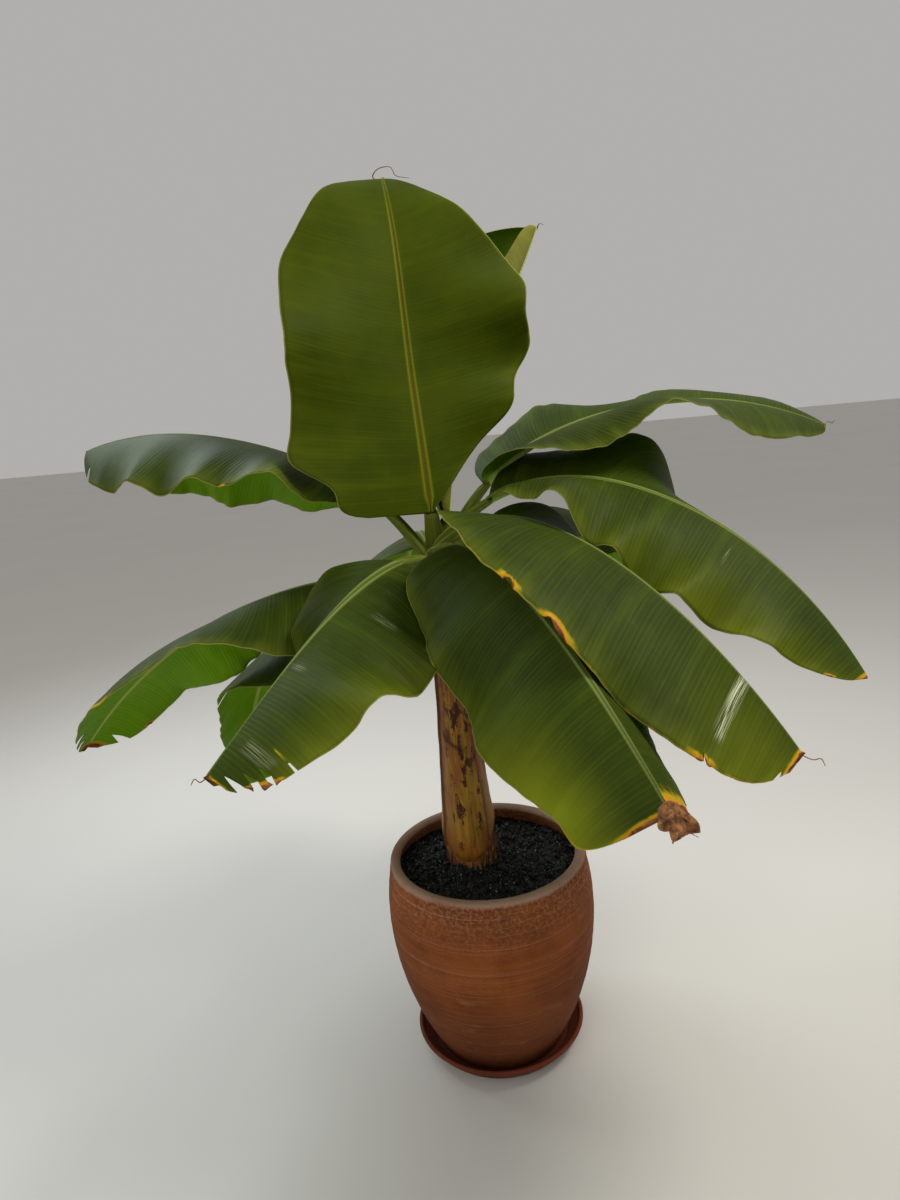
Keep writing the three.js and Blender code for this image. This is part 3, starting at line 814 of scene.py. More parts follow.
def clay_finish(name, colours, pale_rim=None):
    """Unglazed clay with turning marks, drips, bloom and dark specks; pale_rim is where a rim pales, with
    chalky bloom and a painted highlight.
    """
    deep, light, bloom = colours
    coat = Coat(name, deep, roughness=0.8, specular=0.15)
    times, plus = coat.times, coat.plus
    place = coat.place()
    x, y, z = coat.parts(place)
    around = times(coat.calc("ARCTAN2", y, x), 0.2)
    broad = coat.grain(place, 7.0, 4.0)
    throwing, turning = [coat.grain(coat.point(x, y, times(z, rings)), 2.0) for rings in (60, 260)]
    drips = coat.streaks(around, z, 70, 5, 3.0, 4.0, 0.65)
    scuffs = coat.streaks(around, z, 12, 34, 8.0, 5.0, 0.7)
    specks, sand, grit = [coat.grain(place, scale, 2.0) for scale in (260.0, 620.0, 420.0)]
    coat.lay_steps(
        (broad, 0.3, 0.7, light),
        (throwing, 0.42, 0.72, light, 0.4),
        (throwing, 0.5, 0.28, CLAY_DAMP_AND_SHADE, 0.2),
        (turning, 0.56, 0.66, bloom, 0.3),
        (sand, 0.5, 0.7, light, 0.4),
        (grit, 0.5, 0.32, CLAY_DAMP_AND_SHADE, 0.4),
        # Darker towards the foot, partly damp clay and partly painted shade; the low saucer is darkened
        # all over
        (z, 0.3, 0.06, CLAY_DAMP_AND_SHADE, 0.6),
        (drips, 0.56, 0.7, CLAY_DAMP_AND_SHADE, 0.16),
        (scuffs, 0.58, 0.72, bloom, 0.25),
    )
    if pale_rim is not None:
        dust = coat.step(coat.grain(place, 170.0, 4.0, 0.7), 0.48, 0.58)
        coat.lay(times(dust, coat.step(z, 0.3, 0.4)), bloom, 0.3)
        # The pale rim: chalky bloom, and a painted highlight of the light on the lip
        rim = coat.step(plus(z, times(broad, 0.012)), *pale_rim)
        coat.lay(times(rim, plus(broad, 0.3)), RIM_BLOOM_AND_HIGHLIGHT, 0.85)
    coat.lay_steps((specks, 0.68, 0.76, CLAY_SPECK))
    height = plus(times(throwing, 1.4), plus(times(turning, 0.7), times(specks, 0.35)))
    return coat.finished(height, depth=0.001, rough=plus(times(drips, -0.2), 0.88))


def soil_finish(name, bits):
    """Black peat that glints a little, with pale bluish bits painted as more glints; bits is how rare the
    pale ones are.
    """
    coat = Coat(name, SOIL_BLACK, roughness=0.42, specular=0.35)
    place = coat.place()
    coarse = coat.grain(place, 90.0, 4.0)
    fine = coat.grain(place, 170.0, 3.0)
    # The pale bluish bits are painted glints
    coat.lay_steps((coarse, 0.46, 0.7, SOIL_BROWN), (fine, bits, bits + 0.05, SOIL_PAINTED_GLINT))
    return coat.finished(coat.plus(coarse, fine), depth=0.003)


def scrap_finish():
    """Dry brown sheath fibre and withered thread."""
    coat = Coat("dry_sheath", SCRAP_BROWN, roughness=0.8, specular=0.2)
    fibre = coat.grain(coat.place(), 70.0, 5.0, 0.7)
    coat.lay_steps((fibre, 0.35, 0.65, SCRAP_TAN))
    return coat.finished(fibre, depth=0.001)


def floor_finish():
    coat = Coat("floor_paint", FLOOR_GREY, roughness=0.9, specular=0.2)
    coat.lay(coat.grain(coat.place(), 0.8, 2.0), FLOOR_CLOUD)
    return coat.finished()


def turned_piece(name, profile, finish, node):
    """A turned piece; its profile of radii and heights runs from the axis below to the axis above."""
    profile = np.asarray(profile, float)
    turn = np.linspace(0, 2 * np.pi, ROUND_SIDES, endpoint=False)
    rings = round_points(0, 0, profile[1:-1, :1], turn, profile[1:-1, 1:]).reshape(-1, 3)
    points = np.vstack([rings, [0, 0, profile[0][1]], [0, 0, profile[-1][1]]])
    new_piece(name, points, round_faces(len(profile) - 2, ROUND_SIDES), [finish], [node])


def pot_radius(z):
    return float(along(POT_RADII, (z - POT_FOOT_Z) / (POT_RIM_Z - POT_FOOT_Z)))


def make_saucer(finish):
    inner = SAUCER_RIM_RADIUS - SAUCER_WALL
    profile = [(0, 0), (SAUCER_FOOT_RADIUS - SAUCER_CORNER, 0), (SAUCER_FOOT_RADIUS, 1)]
    for t in np.linspace(*SAUCER_SIDE, PROFILE_STEPS):
        radius = mixed((SAUCER_FOOT_RADIUS, SAUCER_RIM_RADIUS), t) + SAUCER_BULGE * math.sin(math.pi * t)
        profile.append((radius, t * (SAUCER_HEIGHT - SAUCER_SIDE_BELOW_RIM)))
    middle = (SAUCER_RIM_RADIUS + inner) / 2
    lip = SAUCER_WALL / 2
    for turn in np.linspace(0, math.pi, PROFILE_STEPS):
        profile.append((middle + lip * math.cos(turn), SAUCER_HEIGHT - lip + lip * math.sin(turn)))
    for t in np.linspace(*SAUCER_INSIDE, PROFILE_STEPS - 1):
        radius = mixed((SAUCER_FOOT_RADIUS - SAUCER_INNER_FOOT, inner - 1), t)
        profile.append((radius, mixed((SAUCER_FLOOR, SAUCER_HEIGHT - SAUCER_INSIDE_BELOW_RIM), t)))
    turned_piece("clay_saucer", [*profile, (0, SAUCER_FLOOR)], finish, "saucer")


def make_pot(finish):
    lip = POT_LIP / 2
    rim_z = POT_RIM_Z - lip
    middle = pot_radius(POT_RIM_Z) - lip
    floor = POT_FOOT_Z + POT_FLOOR
    short, long = TURNING_LENGTHS
    inward, upward = POT_CORNER
    profile = [(0, POT_FOOT_Z), (POT_RADII[0] - inward, POT_FOOT_Z)]
    for z in np.linspace(POT_FOOT_Z + upward, rim_z - POT_SIDE_BELOW_LIP, POT_SIDE_STEPS):
        mark = TURNING_MARK * float(wander(z / short, 3)) * (1 + float(wander(z / long, 5)))
        groove = GROOVE_DEPTH * bell(z - (rim_z - GROOVE_BELOW_RIM), GROOVE_WIDTH)
        profile.append((pot_radius(z) + mark - groove, z))
    for turn in np.linspace(LIP_STARTS, math.pi, LIP_STEPS):
        profile.append((middle + (lip + LIP_SWELL) * math.cos(turn), rim_z + lip * math.sin(turn)))
    for z in np.linspace(POT_RIM_Z - POT_INSIDE_BELOW_RIM, floor, POT_INSIDE_STEPS):
        profile.append((pot_radius(z) - POT_WALL, z))
    turned_piece("clay_pot", [*profile, (0, floor)], finish, "pot")


def make_soil(finish):
    """The soil, lumpy above and following the pot's inner wall below. Gives back its top."""
    edge = pot_radius(SOIL_Z) - POT_WALL - SOIL_GAP
    share = np.linspace(SOIL_INNERMOST, 1, SOIL_RINGS)[:, None]
    turn = np.linspace(0, 2 * np.pi, SOIL_SIDES, endpoint=False)
    x, y, _ = np.moveaxis(round_points(0, 0, edge * share, turn, 0), -1, 0)
    places = [x / SOIL_LUMP_LENGTH, y / SOIL_LUMP_LENGTH, 0 * x + SOIL_NOISE_Z]
    places = np.stack(places, -1).reshape(-1, 3)
    lumps = np.reshape([noise.fractal(Vector(place), *SOIL_NOISE) for place in places], x.shape)
    away = np.hypot(x - STEM_FOOT[0], y - STEM_FOOT[1])
    calmer = mixed((SOIL_CALM, 1), smooth(0, CALM_FROM_EDGE, 1 - share))
    z = SOIL_Z - SOIL_EDGE_DIP * share**2 + lumps * SOIL_LUMP * calmer
    z = z + SOIL_HEAP * bell(away - HEAP_FROM_STEM, HEAP_WIDTH)
    top = np.stack([x, y, z], -1).reshape(-1, 3)
    floor = POT_FOOT_Z + POT_FLOOR + SOIL_GAP
    wall = []
    for height in np.linspace(SOIL_Z - SOIL_WALL_BELOW, floor, SOIL_WALL_RINGS):
        wall.append(round_points(0, 0, pot_radius(height) - POT_WALL - 2 * SOIL_GAP, turn, height))
    points = np.vstack([top, *wall, [[0, 0, z[0].mean()], [0, 0, floor]]])
    faces = round_faces(SOIL_RINGS + len(wall), SOIL_SIDES, from_top=True)
    new_piece("potting_soil", points, faces, [finish], ["soil"])
    return top, grid_faces(SOIL_RINGS, SOIL_SIDES, closed=True)[:, ::-1]


def midrib_of(leaf):
    """Points and frames along the midrib, in the same steps as the solids under them."""
    share = np.linspace(0, 1, MIDRIB_STEPS + 1)
    rise = np.radians(along(leaf["rise"], share))
    heading = np.radians(along(leaf["heading"], share))
    ahead = np.stack([np.cos(heading) * np.cos(rise), np.sin(heading) * np.cos(rise), np.sin(rise)], -1)
    side = np.stack([-np.sin(heading), np.cos(heading), 0 * heading], -1)
    step = (leaf["stalk"] + leaf["blade"]) / MIDRIB_STEPS
    moves = (ahead[1:] + ahead[:-1]) * step / 2
    points = np.vstack([np.zeros(3), np.cumsum(moves, 0)]) + leaf["start"]
    return {"step": step, "point": points, "ahead": ahead, "side": side, "up": np.cross(ahead, side)}


def frames_at(midrib, distance):
    """Point, direction ahead, direction to the left and direction up at distances along the midrib."""
    known = np.arange(MIDRIB_STEPS + 1) * midrib["step"]
    point, *directions = [read(distance, known, midrib[key]) for key in ("point", "ahead", "side", "up")]
    return point + directions[0] * np.minimum(distance, 0)[:, None], *directions


def half_width(leaf, hand, u):
    g = u ** leaf["widest"][hand]
    width = leaf["half"][hand] * (4 * g * (1 - g)) ** leaf["fullness"][hand]
    if "trim" in leaf:
        width = width * along(leaf["trim"][hand], u)
    return np.maximum(width, mixed((BASE_HALF, TIP_HALF), u))


def rib_width(leaf, hand, u):
    return np.minimum(mixed(RIB_HALF, u), half_width(leaf, hand, u) / 4)


def slope_of(leaf, hand, u, v):
    """Slope of one half blade at share u of its length and share v of the way to its margin."""
    angle, waves, start = leaf["ripple"][hand]
    fade = np.sqrt(np.sin(np.pi * np.clip(u, 0, 1)))
    wave = angle * np.sin(2 * np.pi * (waves * u + start)) * v * fade
    fold = along(leaf["left"] if hand == 0 else leaf["right"], u)
    return np.radians(fold + along(leaf["curl"][hand], u) * (v - 0.5) + wave)


def half_surface(leaf, hand, rows, midrib, seed):
    """Half a blade on a grid with rows along the side veins: each point, its reach and share out."""
    u = np.linspace(0, 1, 3 * BLADE_ROWS)
    point, _, side, up = frames_at(midrib, leaf["stalk"] + leaf["blade"] * u)
    width = half_width(leaf, hand, u)[:, None]
    near = np.asarray(RIB_COLUMNS)[None, :] * rib_width(leaf, hand, u)[:, None]
    share = np.linspace(0, 1, BLADE_COLUMNS + 1)[None, 1:]
    distance = np.hstack([near, near[:, -1:] + (width - near[:, -1:]) * share])
    v = distance / width
    ruffle = wander(u * leaf["blade"] / RUFFLE_LENGTH, seed, 2) * leaf.get("ruffle", RUFFLE_SLOPE)
    middle = (v[:, 1:] + v[:, :-1]) / 2
    angle = slope_of(leaf, hand, u[:, None], middle) + np.radians(ruffle)[:, None] * middle**3
    steps = np.diff(distance, axis=1)
    start = np.zeros((len(u), 1))
    across = np.hstack([start, np.cumsum(np.cos(angle) * steps, 1)])
    rising = np.hstack([start, np.cumsum(np.sin(angle) * steps, 1)])
    outward = side if hand == 0 else -side
    grid = point[:, None] + outward[:, None] * across[..., None] + up[:, None] * rising[..., None]
    known = np.concatenate([grid, distance[..., None], v[..., None]], -1)
    first = len(RIB_COLUMNS)
    found = np.zeros((len(rows), *known.shape[1:]))
    for j in range(known.shape[1]):
        typical = share[0, j - first] if j >= first else 0.0
        found[:, j] = read(rows + VEIN_LEAN * typical**VEIN_BEND * rows * (1 - rows), u, known[:, j])
    notch = np.zeros(len(rows))
    for tear_hand, place, half, depth in leaf.get("tears", ()):
        if tear_hand == hand:
            gap = np.clip(1 - np.abs(rows - place) / half, 0, 1)
            notch = np.maximum(notch, depth * gap**TEAR_SHAPE)
    places = np.arange(found.shape[1], dtype=float)
    for i in np.nonzero(notch > 0)[0]:
        pulled = places.copy()
        pulled[first:] = first - 1 + (places[first:] - first + 1) * (1 - notch[i])
        found[i] = read(pulled, places, found[i])
    return found


def strongest_spot(listed, rows, share, is_left, outward, power=2):
    """The strongest of the listed spots at each point; outward says how one shows across the blade."""
    found = np.zeros(share.shape)
    for hand, place, half, *reach, strength in listed:
        own = (is_left, ~is_left, np.ones(share.shape, bool))[hand]
        spot = bell(rows[:, None] - place, half, power) * outward(*reach)
        found = np.maximum(found, own * strength * spot)
    return found


def dryness(leaf, rows, share, is_left):
    """0 where the blade is green, towards 1 where it is burnt."""
    def near_edge(depth):
        begins, full = DRY_EDGE
        return smooth(1 - depth * begins, 1 - depth * full, share)

    margin = smooth(DRY_MARGIN_FROM, 1.0, share) ** 2 * smooth(*DRY_MARGIN_BEGINS, rows[:, None])
    edges = np.where(is_left, *leaf["margin"]) * margin
    return np.maximum(edges, strongest_spot(leaf.get("dry", ()), rows, share, is_left, near_edge))


def fading(leaf, rows, share, is_left):
    """0 where the blade is a full green, towards 1 where it fades to yellow-green."""
    def outer_part(depth):
        return smooth(1 - depth, 1.1, share)

    return strongest_spot(leaf.get("pale", ()), rows, share, is_left, outer_part)


def wear(leaf, rows, share, is_left):
    """1 where side veins are scratched pale, 0 elsewhere."""
    def band(first, last):
        begins = smooth(first - WORN_EDGE, first + WORN_EDGE, share)
        return begins * smooth(last + WORN_EDGE, last - WORN_EDGE, share)

    return strongest_spot(leaf.get("worn", ()), rows, share, is_left, band, 4)


def make_blade(leaf, seed, finishes):
    """One blade as a closed thin shell with its midrib standing out below."""
    midrib = midrib_of(leaf)
    rows = [np.linspace(0, 1, BLADE_ROWS)]
    for _, place, half, _ in leaf.get("tears", ()):
        rows.append(place + half * np.linspace(-1, 1, TEAR_ROWS))
    rows = np.unique(np.clip(np.concatenate(rows), 0, 1))
    rows = rows[np.concatenate([[True], np.diff(rows) > ROW_GAP])]
    left = half_surface(leaf, 0, rows, midrib, seed)
    right = half_surface(leaf, 1, rows, midrib, seed + RIGHT_SEED)
    left[..., 3] *= -1
    facts = np.concatenate([left[:, ::-1], right[:, 1:]], 1)
    points, reach, share = facts[..., :3].copy(), facts[..., 3], facts[..., 4]
    normal = unit(np.cross(np.gradient(points, axis=1), np.gradient(points, axis=0)))
    near = np.abs(reach) / np.maximum(rib_width(leaf, 1, rows)[:, None], 0.5)
    ridge = np.sqrt(np.clip(1 - (near / RIB_EDGE) ** 2, 0, 1)) * mixed(RIB_BELOW, rows)[:, None]
    groove = bell(near, GROOVE_SPREAD) * mixed(RIB_GROOVE, rows)[:, None]
    lips = bell(near - LIP_PLACE, LIP_SPREAD) * mixed(RIB_LIPS, rows)[:, None]
    dry = dryness(leaf, rows, share, reach < 0)
    crumpled = smooth(*CRUMPLE_DRYNESS, dry) * CRUMPLE
    for i, j in zip(*np.nonzero(crumpled > 0.05)):
        points[i, j] += crumpled[i, j] * crinkle(points[i, j] / CRUMPLE_LENGTH)
    half = BLADE_THICKNESS / 2
    top = points + normal * (half + lips - groove)[..., None]
    below = points - normal * (half + np.maximum(ridge, groove * GROOVE_COVER))[..., None]
    vertices, faces, sides = shell(top, below)
    name = leaf["name"]
    piece = new_piece(f"blade_{name}", vertices, faces, finishes, [f"leaf_{name}"], sides)
    length = np.broadcast_to((rows * leaf["blade"])[:, None] * MM, reach.shape)
    place = np.stack([length, reach * MM, share], -1)
    fades = (1 - 0.5 * smooth(*MARKS_FADE, rows))[:, None]
    lip_mark = bell(near - LIP_MARK_PLACE, LIP_MARK_SPREAD) * fades
    above = np.stack([lip_mark, smooth(*CHANNEL_MARK, near) * fades, dry], -1)
    under = np.stack([smooth(*RIB_MARK, near), 0 * dry, dry], -1)
    point_attribute(piece, "blade", [place, place])
    point_attribute(piece, "marks", [above, under])
    point_attribute(piece, "worn", [wear(leaf, rows, share, reach < 0)] * 2)
    point_attribute(piece, "faded", [fading(leaf, rows, share, reach < 0)] * 2)


def make_thread(leaf, finish):
    """The withered thread that curls from the tip of a blade, closed at both ends."""
    turns = np.array(leaf["thread"], float)
    t = np.linspace(0, 1, THREAD_STEPS)
    path = np.stack([along(turns[:, k], t) for k in range(3)], -1) + midrib_of(leaf)["point"][-1]
    ahead = unit(np.gradient(path, axis=0))
    side = unit(np.cross(ahead, THREAD_UP))
    up = np.cross(side, ahead)
    width = (THREAD_RADIUS * (1 - THREAD_TAPER * t))[:, None, None]
    turn = np.linspace(0, 2 * np.pi, THREAD_SIDES, endpoint=False)[None, :, None]
    ring = side[:, None] * np.cos(turn) * width
    ring = ring + up[:, None] * np.sin(turn) * np.minimum(width, THREAD_FLAT)
    faces = grid_faces(THREAD_STEPS, THREAD_SIDES, closed=True).tolist()
    last = (THREAD_STEPS - 1) * THREAD_SIDES
    faces.append(tuple(range(THREAD_SIDES - 1, -1, -1)))
    faces.append(tuple(range(last, last + THREAD_SIDES)))
    new_piece(f"thread_{leaf['name']}", (path[:, None] + ring).reshape(-1, 3), faces, [finish])


def make_scrap(leaf, finish):
    """The withered, crumpled end that hangs from the tip of the front blade."""
    midrib = midrib_of(leaf)
    tip, ahead, side = midrib["point"][-1], midrib["ahead"][-1], midrib["side"][-1]
    steps = np.linspace(0, 1, SCRAP_ROWS)
    s, t = np.meshgrid(steps, np.linspace(-0.5, 0.5, SCRAP_ROWS), indexing="ij")
    rounding = np.sin(np.pi * np.clip(s + SCRAP_WIDEST, 0, 1)) ** 0.8
    width = SCRAP_WIDTH * (SCRAP_LEAST + SCRAP_ROUND * rounding)
    out = np.sin(SCRAP_TURN * s) * SCRAP_LENGTH * SCRAP_REACH - SCRAP_BACK
    down = (1 - np.cos(SCRAP_TURN * s)) * SCRAP_LENGTH * SCRAP_DROP
    aside = t * width + SCRAP_ASIDE * s
    points = tip + [0, 0, SCRAP_UP] + ahead * out[..., None] + side * aside[..., None]
    points[..., 2] -= down + SCRAP_CUP * t**2
    for i, j in np.ndindex(s.shape):
        spot = Vector(points[i, j] / SCRAP_FOLD)
        shift = crinkle(spot) + 0.5 * crinkle(spot * SCRAP_FINER_FOLD)
        points[i, j] += SCRAP_CRUMPLE * s[i, j] ** 0.5 * shift
    normal = unit(np.cross(np.gradient(points, axis=0), np.gradient(points, axis=1))) * SCRAP_HALF_THICK
    vertices, faces, _ = shell(points + normal, points - normal)
    new_piece("papery_tip", vertices, faces, [finish])


def stem_axis(z):
    """Centre and radius of the pseudostem at a height, and the height's share of the stem."""
    t = np.clip((np.asarray(z, float) - SOIL_Z) / (STEM_TOP_Z - SOIL_Z), 0, 1)
    x, y = [along(stations, t) for stations in zip(STEM_FOOT, STEM_MIDDLE, STEM_TOP)]
    return x, y, along(STEM_RADII, t), t


def make_stalk(leaf, order, finish):
    """A leaf stalk: a sheath wrapped round the stem that draws together into a grooved stalk."""
    midrib = midrib_of(leaf)
    stalk = leaf["stalk"]
    end = stalk + STALK_OVERLAP
    sheath = np.linspace(-SHEATH_LENGTH, 0, SHEATH_ROWS, endpoint=False)
    q = np.concatenate([sheath, np.linspace(0, end, STALK_ROWS)])
    point, _, side, up = frames_at(midrib, q)
    t = np.clip(q / stalk, 0, 1)
    turn = np.linspace(-1, 1, STALK_SIDES)[None, :]
    fade = smooth(end, stalk, q)
    width = (mixed(STALK_HALF_WIDTH, t) * mixed((STALK_END_WIDTH, 1), fade))[:, None]
    depth = (mixed(STALK_DEPTH, t) * mixed((STALK_END_DEPTH, 1), fade))[:, None]
    lower_x = np.sin(turn * math.pi / 2) * width
    lower_z = -np.cos(turn * math.pi / 2) * depth + STALK_SHOULDER * depth * np.abs(turn) ** 3
    groove = mixed(STALK_GROOVE, t)[:, None] * depth
    upper_z = lower_z[:, :1] + STALK_WALL - groove * (1 - turn**2) ** 0.8
    upper_z = np.maximum(upper_z, lower_z + STALK_WALL)
    sink = smooth(stalk - STALK_SINKS_BEFORE, end, q)[:, None] * STALK_SINK
    lower_z = lower_z * (1 - STALK_SINK_FLATTENS * sink / STALK_SINK) - STALK_SINK_LOWERS * sink
    roof = mixed(STALK_ROOF, smooth(stalk - STALK_ROOF_BEFORE, stalk, q))[:, None]
    upper_z = np.maximum(np.minimum(upper_z, roof) - sink, lower_z + STALK_THINNEST)
    free = []
    for x, z in ((lower_x, lower_z), (lower_x * STALK_INSIDE, upper_z)):
        free.append(point[:, None] + side[:, None] * x[..., None] + up[:, None] * z[..., None])
    start = np.asarray(leaf["start"], float)
    heights = start[2] + np.where(q < 0, q, SHEATH_RISE * q)
    x, y, radius, _ = stem_axis(heights)
    centre_x, centre_y, _, _ = stem_axis(start[2] - CROWN_BELOW)
    bearing = math.atan2(start[1] - centre_y, start[0] - centre_x)
    sunk = smooth(-SHEATH_LENGTH, -SHEATH_LENGTH * SHEATH_SINKS, q)
    inside = radius * (1 - SHEATH_SWELL) - SHEATH_INSIDE
    outer = (radius + STACK_STEP * order) * sunk + inside * (1 - sunk)
    outer = np.maximum(outer, SHEATH_LEAST)[:, None]
    opening = np.radians(mixed(SHEATH_ARC, smooth(*SHEATH_OPENS, q)))
    angle = bearing - opening[:, None] * turn
    wall = SHEATH_WALL * (1 - SHEATH_THINS * turn**2)
    wrapped = [round_points(x[:, None], y[:, None], outer + thick, angle, heights[:, None])
               for thick in (wall, 0 * wall)]
    blend = smooth(-SHEATH_DRAW, SHEATH_DRAW, q)[:, None, None]
    near = SHEATH_ROWS + 5
    if np.dot(free[0][near, 0] - free[0][near, -1], wrapped[0][near, 0] - wrapped[0][near, -1]) < 0:
        wrapped = [ring[:, ::-1] for ring in wrapped]
    rings = [w * (1 - blend) + f * blend for w, f in zip(wrapped, free)]
    ring = np.concatenate([rings[0], rings[1][:, ::-1]], 1)
    count, columns = ring.shape[:2]
    faces = grid_faces(count, columns, closed=True).tolist()
    for base, way in ((0, -1), ((count - 1) * columns, 1)):
        for k in range(STALK_SIDES - 1):
            quad = (base + k, base + k + 1, base + columns - 2 - k, base + columns - 1 - k)
            faces.append(quad[::way])
    name = leaf["name"]
    points = ring.reshape(-1, 3)
    piece = new_piece(f"petiole_{name}", points, faces, [finish], [f"stalk_{name}"])
    edge = np.concatenate([turn, turn[:, ::-1]], 1) * 0.5
    wraps = smooth(*SHEATH_BROWN, q)[:, None]
    point_attribute(piece, "blade", np.stack(np.broadcast_arrays(q[:, None] * MM, edge, wraps), -1))


def make_stem(finish):
    """The pseudostem with the steps where one leaf sheath ends over the next."""
    z = np.linspace(SOIL_Z - STEM_BURIED, STEM_TOP_Z, STEM_ROWS)[:, None]
    x, y, radius, t = stem_axis(z)
    turn = np.linspace(0, 2 * np.pi, STEM_SIDES, endpoint=False)
    above = z - SOIL_Z
    surface = radius * (1 + SHEATH_SWELL * np.sin(STEM_LOBES * turn + LOBE_TWIST * t)) - STEM_SLIM
    edges = np.zeros(surface.shape)
    laps = np.zeros(surface.shape)
    for start, drift in SHEATH_EDGES:
        height = above * MM
        wave = EDGE_WANDER * wander(height * EDGE_LENGTH, start)
        where = np.radians(start) + drift * EDGE_LENGTH * height + wave
        past = np.mod(where - turn, 2 * np.pi) / (2 * np.pi)
        surface += SHEATH_STEP * (1 - smooth(0.0, STEP_FADES, past)) * smooth(*STEP_TOP, t)
        line = bell(np.minimum(past, 1 - past), EDGE_WIDTH)
        # Beside each edge, a painted shadow band where the sheath steps over the next joins the dark edge
        # line
        edges = np.maximum(edges, np.maximum(line, 0.5 * bell(1 - past, EDGE_PAINTED_SHADOW)))
        laps = np.maximum(laps, smooth(*LAP_PALES, past))
    rough = np.zeros(surface.shape)
    shaggy = np.zeros(surface.shape)
    for i, j in np.ndindex(surface.shape):
        ring = Vector((math.cos(turn[j]), math.sin(turn[j]), 0))
        rough_spot = ring * ROUGH_AROUND + Vector((0, 0, z[i, 0] / ROUGH_LENGTH))
        rough[i, j] = noise.fractal(rough_spot, *ROUGH_NOISE)
        shaggy[i, j] = noise.noise(ring * SHAGGY_AROUND + Vector((0, 0, z[i, 0] / SHAGGY_LENGTH)))
    surface += STEM_ROUGH * rough
    away = (1 - np.cos(turn - math.radians(FOOT_LOW_TURN))) / 2
    over_foot = above - mixed(FOOT_BROWN, away) - FOOT_EDGE_WAVE * wander(turn * 3, 9)
    foot = smooth(*FOOT_EDGE, over_foot)
    surface += FOOT_STEP * (1 - foot) * smooth(*FOOT_STEP_FADES, over_foot)
    surface -= FOOT_ROUND * (1 - foot) * smooth(*FOOT_ROUND_FADES, over_foot) ** 2
    surface += foot * shaggy * FOOT_SHAGGY
    aside = np.angle(np.exp(1j * (turn - math.radians(SCAR_TURN))))
    scar = bell(aside, SCAR_SPREAD)
    under = above - SCAR_Z + SCAR_SLANT * aside - SCAR_BEND * aside**2
    edges = np.maximum(edges * smooth(*EDGE_BEGINS, t), scar * bell(under, SCAR_HEIGHT))
    surface += scar * SCAR_STEP * smooth(1, -1, under) * smooth(SCAR_FADES, 0, under)
    ends = [[x[k, 0], y[k, 0], z[k, 0]] for k in (0, -1)]
    points = np.vstack([round_points(x, y, surface, turn, z).reshape(-1, 3), ends])
    faces = round_faces(STEM_ROWS, STEM_SIDES)
    piece = new_piece("sheathed_stem", points, faces, [finish], ["pseudostem"])
    facts = np.stack(np.broadcast_arrays(turn / (2 * np.pi), above * MM, edges), -1).reshape(-1, 3)
    point_attribute(piece, "sheath", np.vstack([facts, [0, 0, 0], [0, STEM_REACH, 0]]))
    point_attribute(piece, "foot", np.append(foot.ravel(), [1, 0]))
    point_attribute(piece, "lap", np.append(laps.ravel(), [0, 0]))


def scattered(name, host_shape, bit_shape, per_area, size, seed, finish, tilt=1.0):
    """Copies of a small shape scattered over a surface by a node tree, then made one plain mesh."""
    host = new_plain(name + "_host", *host_shape)
    bit = new_plain(name + "_bit", *bit_shape)
    tree = bpy.data.node_groups.new(name + "_scatter", "GeometryNodeTree")
    new_socket = tree.interface.new_socket
    new_socket("Geometry", in_out="INPUT", socket_type="NodeSocketGeometry")
    new_socket("Geometry", in_out="OUTPUT", socket_type="NodeSocketGeometry")
    per_area_socket = new_socket("Count", in_out="INPUT", socket_type="NodeSocketFloat").identifier
    size_socket = new_socket("Size", in_out="INPUT", socket_type="NodeSocketFloat").identifier
    given = add_node(tree, "NodeGroupInput").outputs
    spread = add_node(tree, "GeometryNodeDistributePointsOnFaces", {
        "Seed": seed,
        "Mesh": given["Geometry"],
        "Density": given["Count"],
    })
    shape = add_node(tree, "GeometryNodeObjectInfo", {"Object": bit})
    turns = {0: (-tilt, -tilt, 0), 1: (tilt, tilt, 2 * math.pi)}
    turn = add_node(tree, "FunctionNodeRandomValue", turns, data_type="FLOAT_VECTOR")
    scale = add_node(tree, "FunctionNodeRandomValue", dict(zip((2, 3), BIT_SCALES)), data_type="FLOAT")
    sized = add_node(tree, "ShaderNodeMath", {0: scale.outputs[1], 1: given["Size"]}, operation="MULTIPLY")
    placed = add_node(tree, "GeometryNodeInstanceOnPoints", {
        "Points": spread.outputs["Points"],
        "Instance": shape.outputs["Geometry"],
        "Rotation": turn.outputs[0],
        "Scale": sized.outputs[0],
    })
    real = add_node(tree, "GeometryNodeRealizeInstances", {"Geometry": placed.outputs["Instances"]})
    painted = add_node(tree, "GeometryNodeSetMaterial", {"Geometry": real.outputs[0], "Material": finish})
    add_node(tree, "NodeGroupOutput", {0: painted.outputs[0]})
    modifier = host.modifiers.new("scatter", "NODES")
    modifier.node_group = tree
    modifier[per_area_socket] = float(per_area)
    modifier[size_socket] = float(size)
    found = host.evaluated_get(bpy.context.evaluated_depsgraph_get())
    mesh = bpy.data.meshes.new_from_object(found)
    mesh.name = name
    piece = new_object(name, mesh)
    bpy.data.objects.remove(host)
    bpy.data.objects.remove(bit)
    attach(piece, BODY)


def crumb_shape():
    """A small angular lump about 1 m across, to be scaled."""
    corners = rng.uniform(*CRUMB_CORNERS, 6)
    axes = ((1, 0, 0), (0, 1, 0), (-1, 0, 0), (0, -1, 0), (0, 0, 1), (0, 0, -1))
    points = [np.array(axis) * reach * CRUMB_HALF for axis, reach in zip(axes, corners)]
    faces = [(0, 1, 4), (1, 2, 4), (2, 3, 4), (3, 0, 4), (1, 0, 5), (2, 1, 5), (3, 2, 5), (0, 3, 5)]
    return points, faces


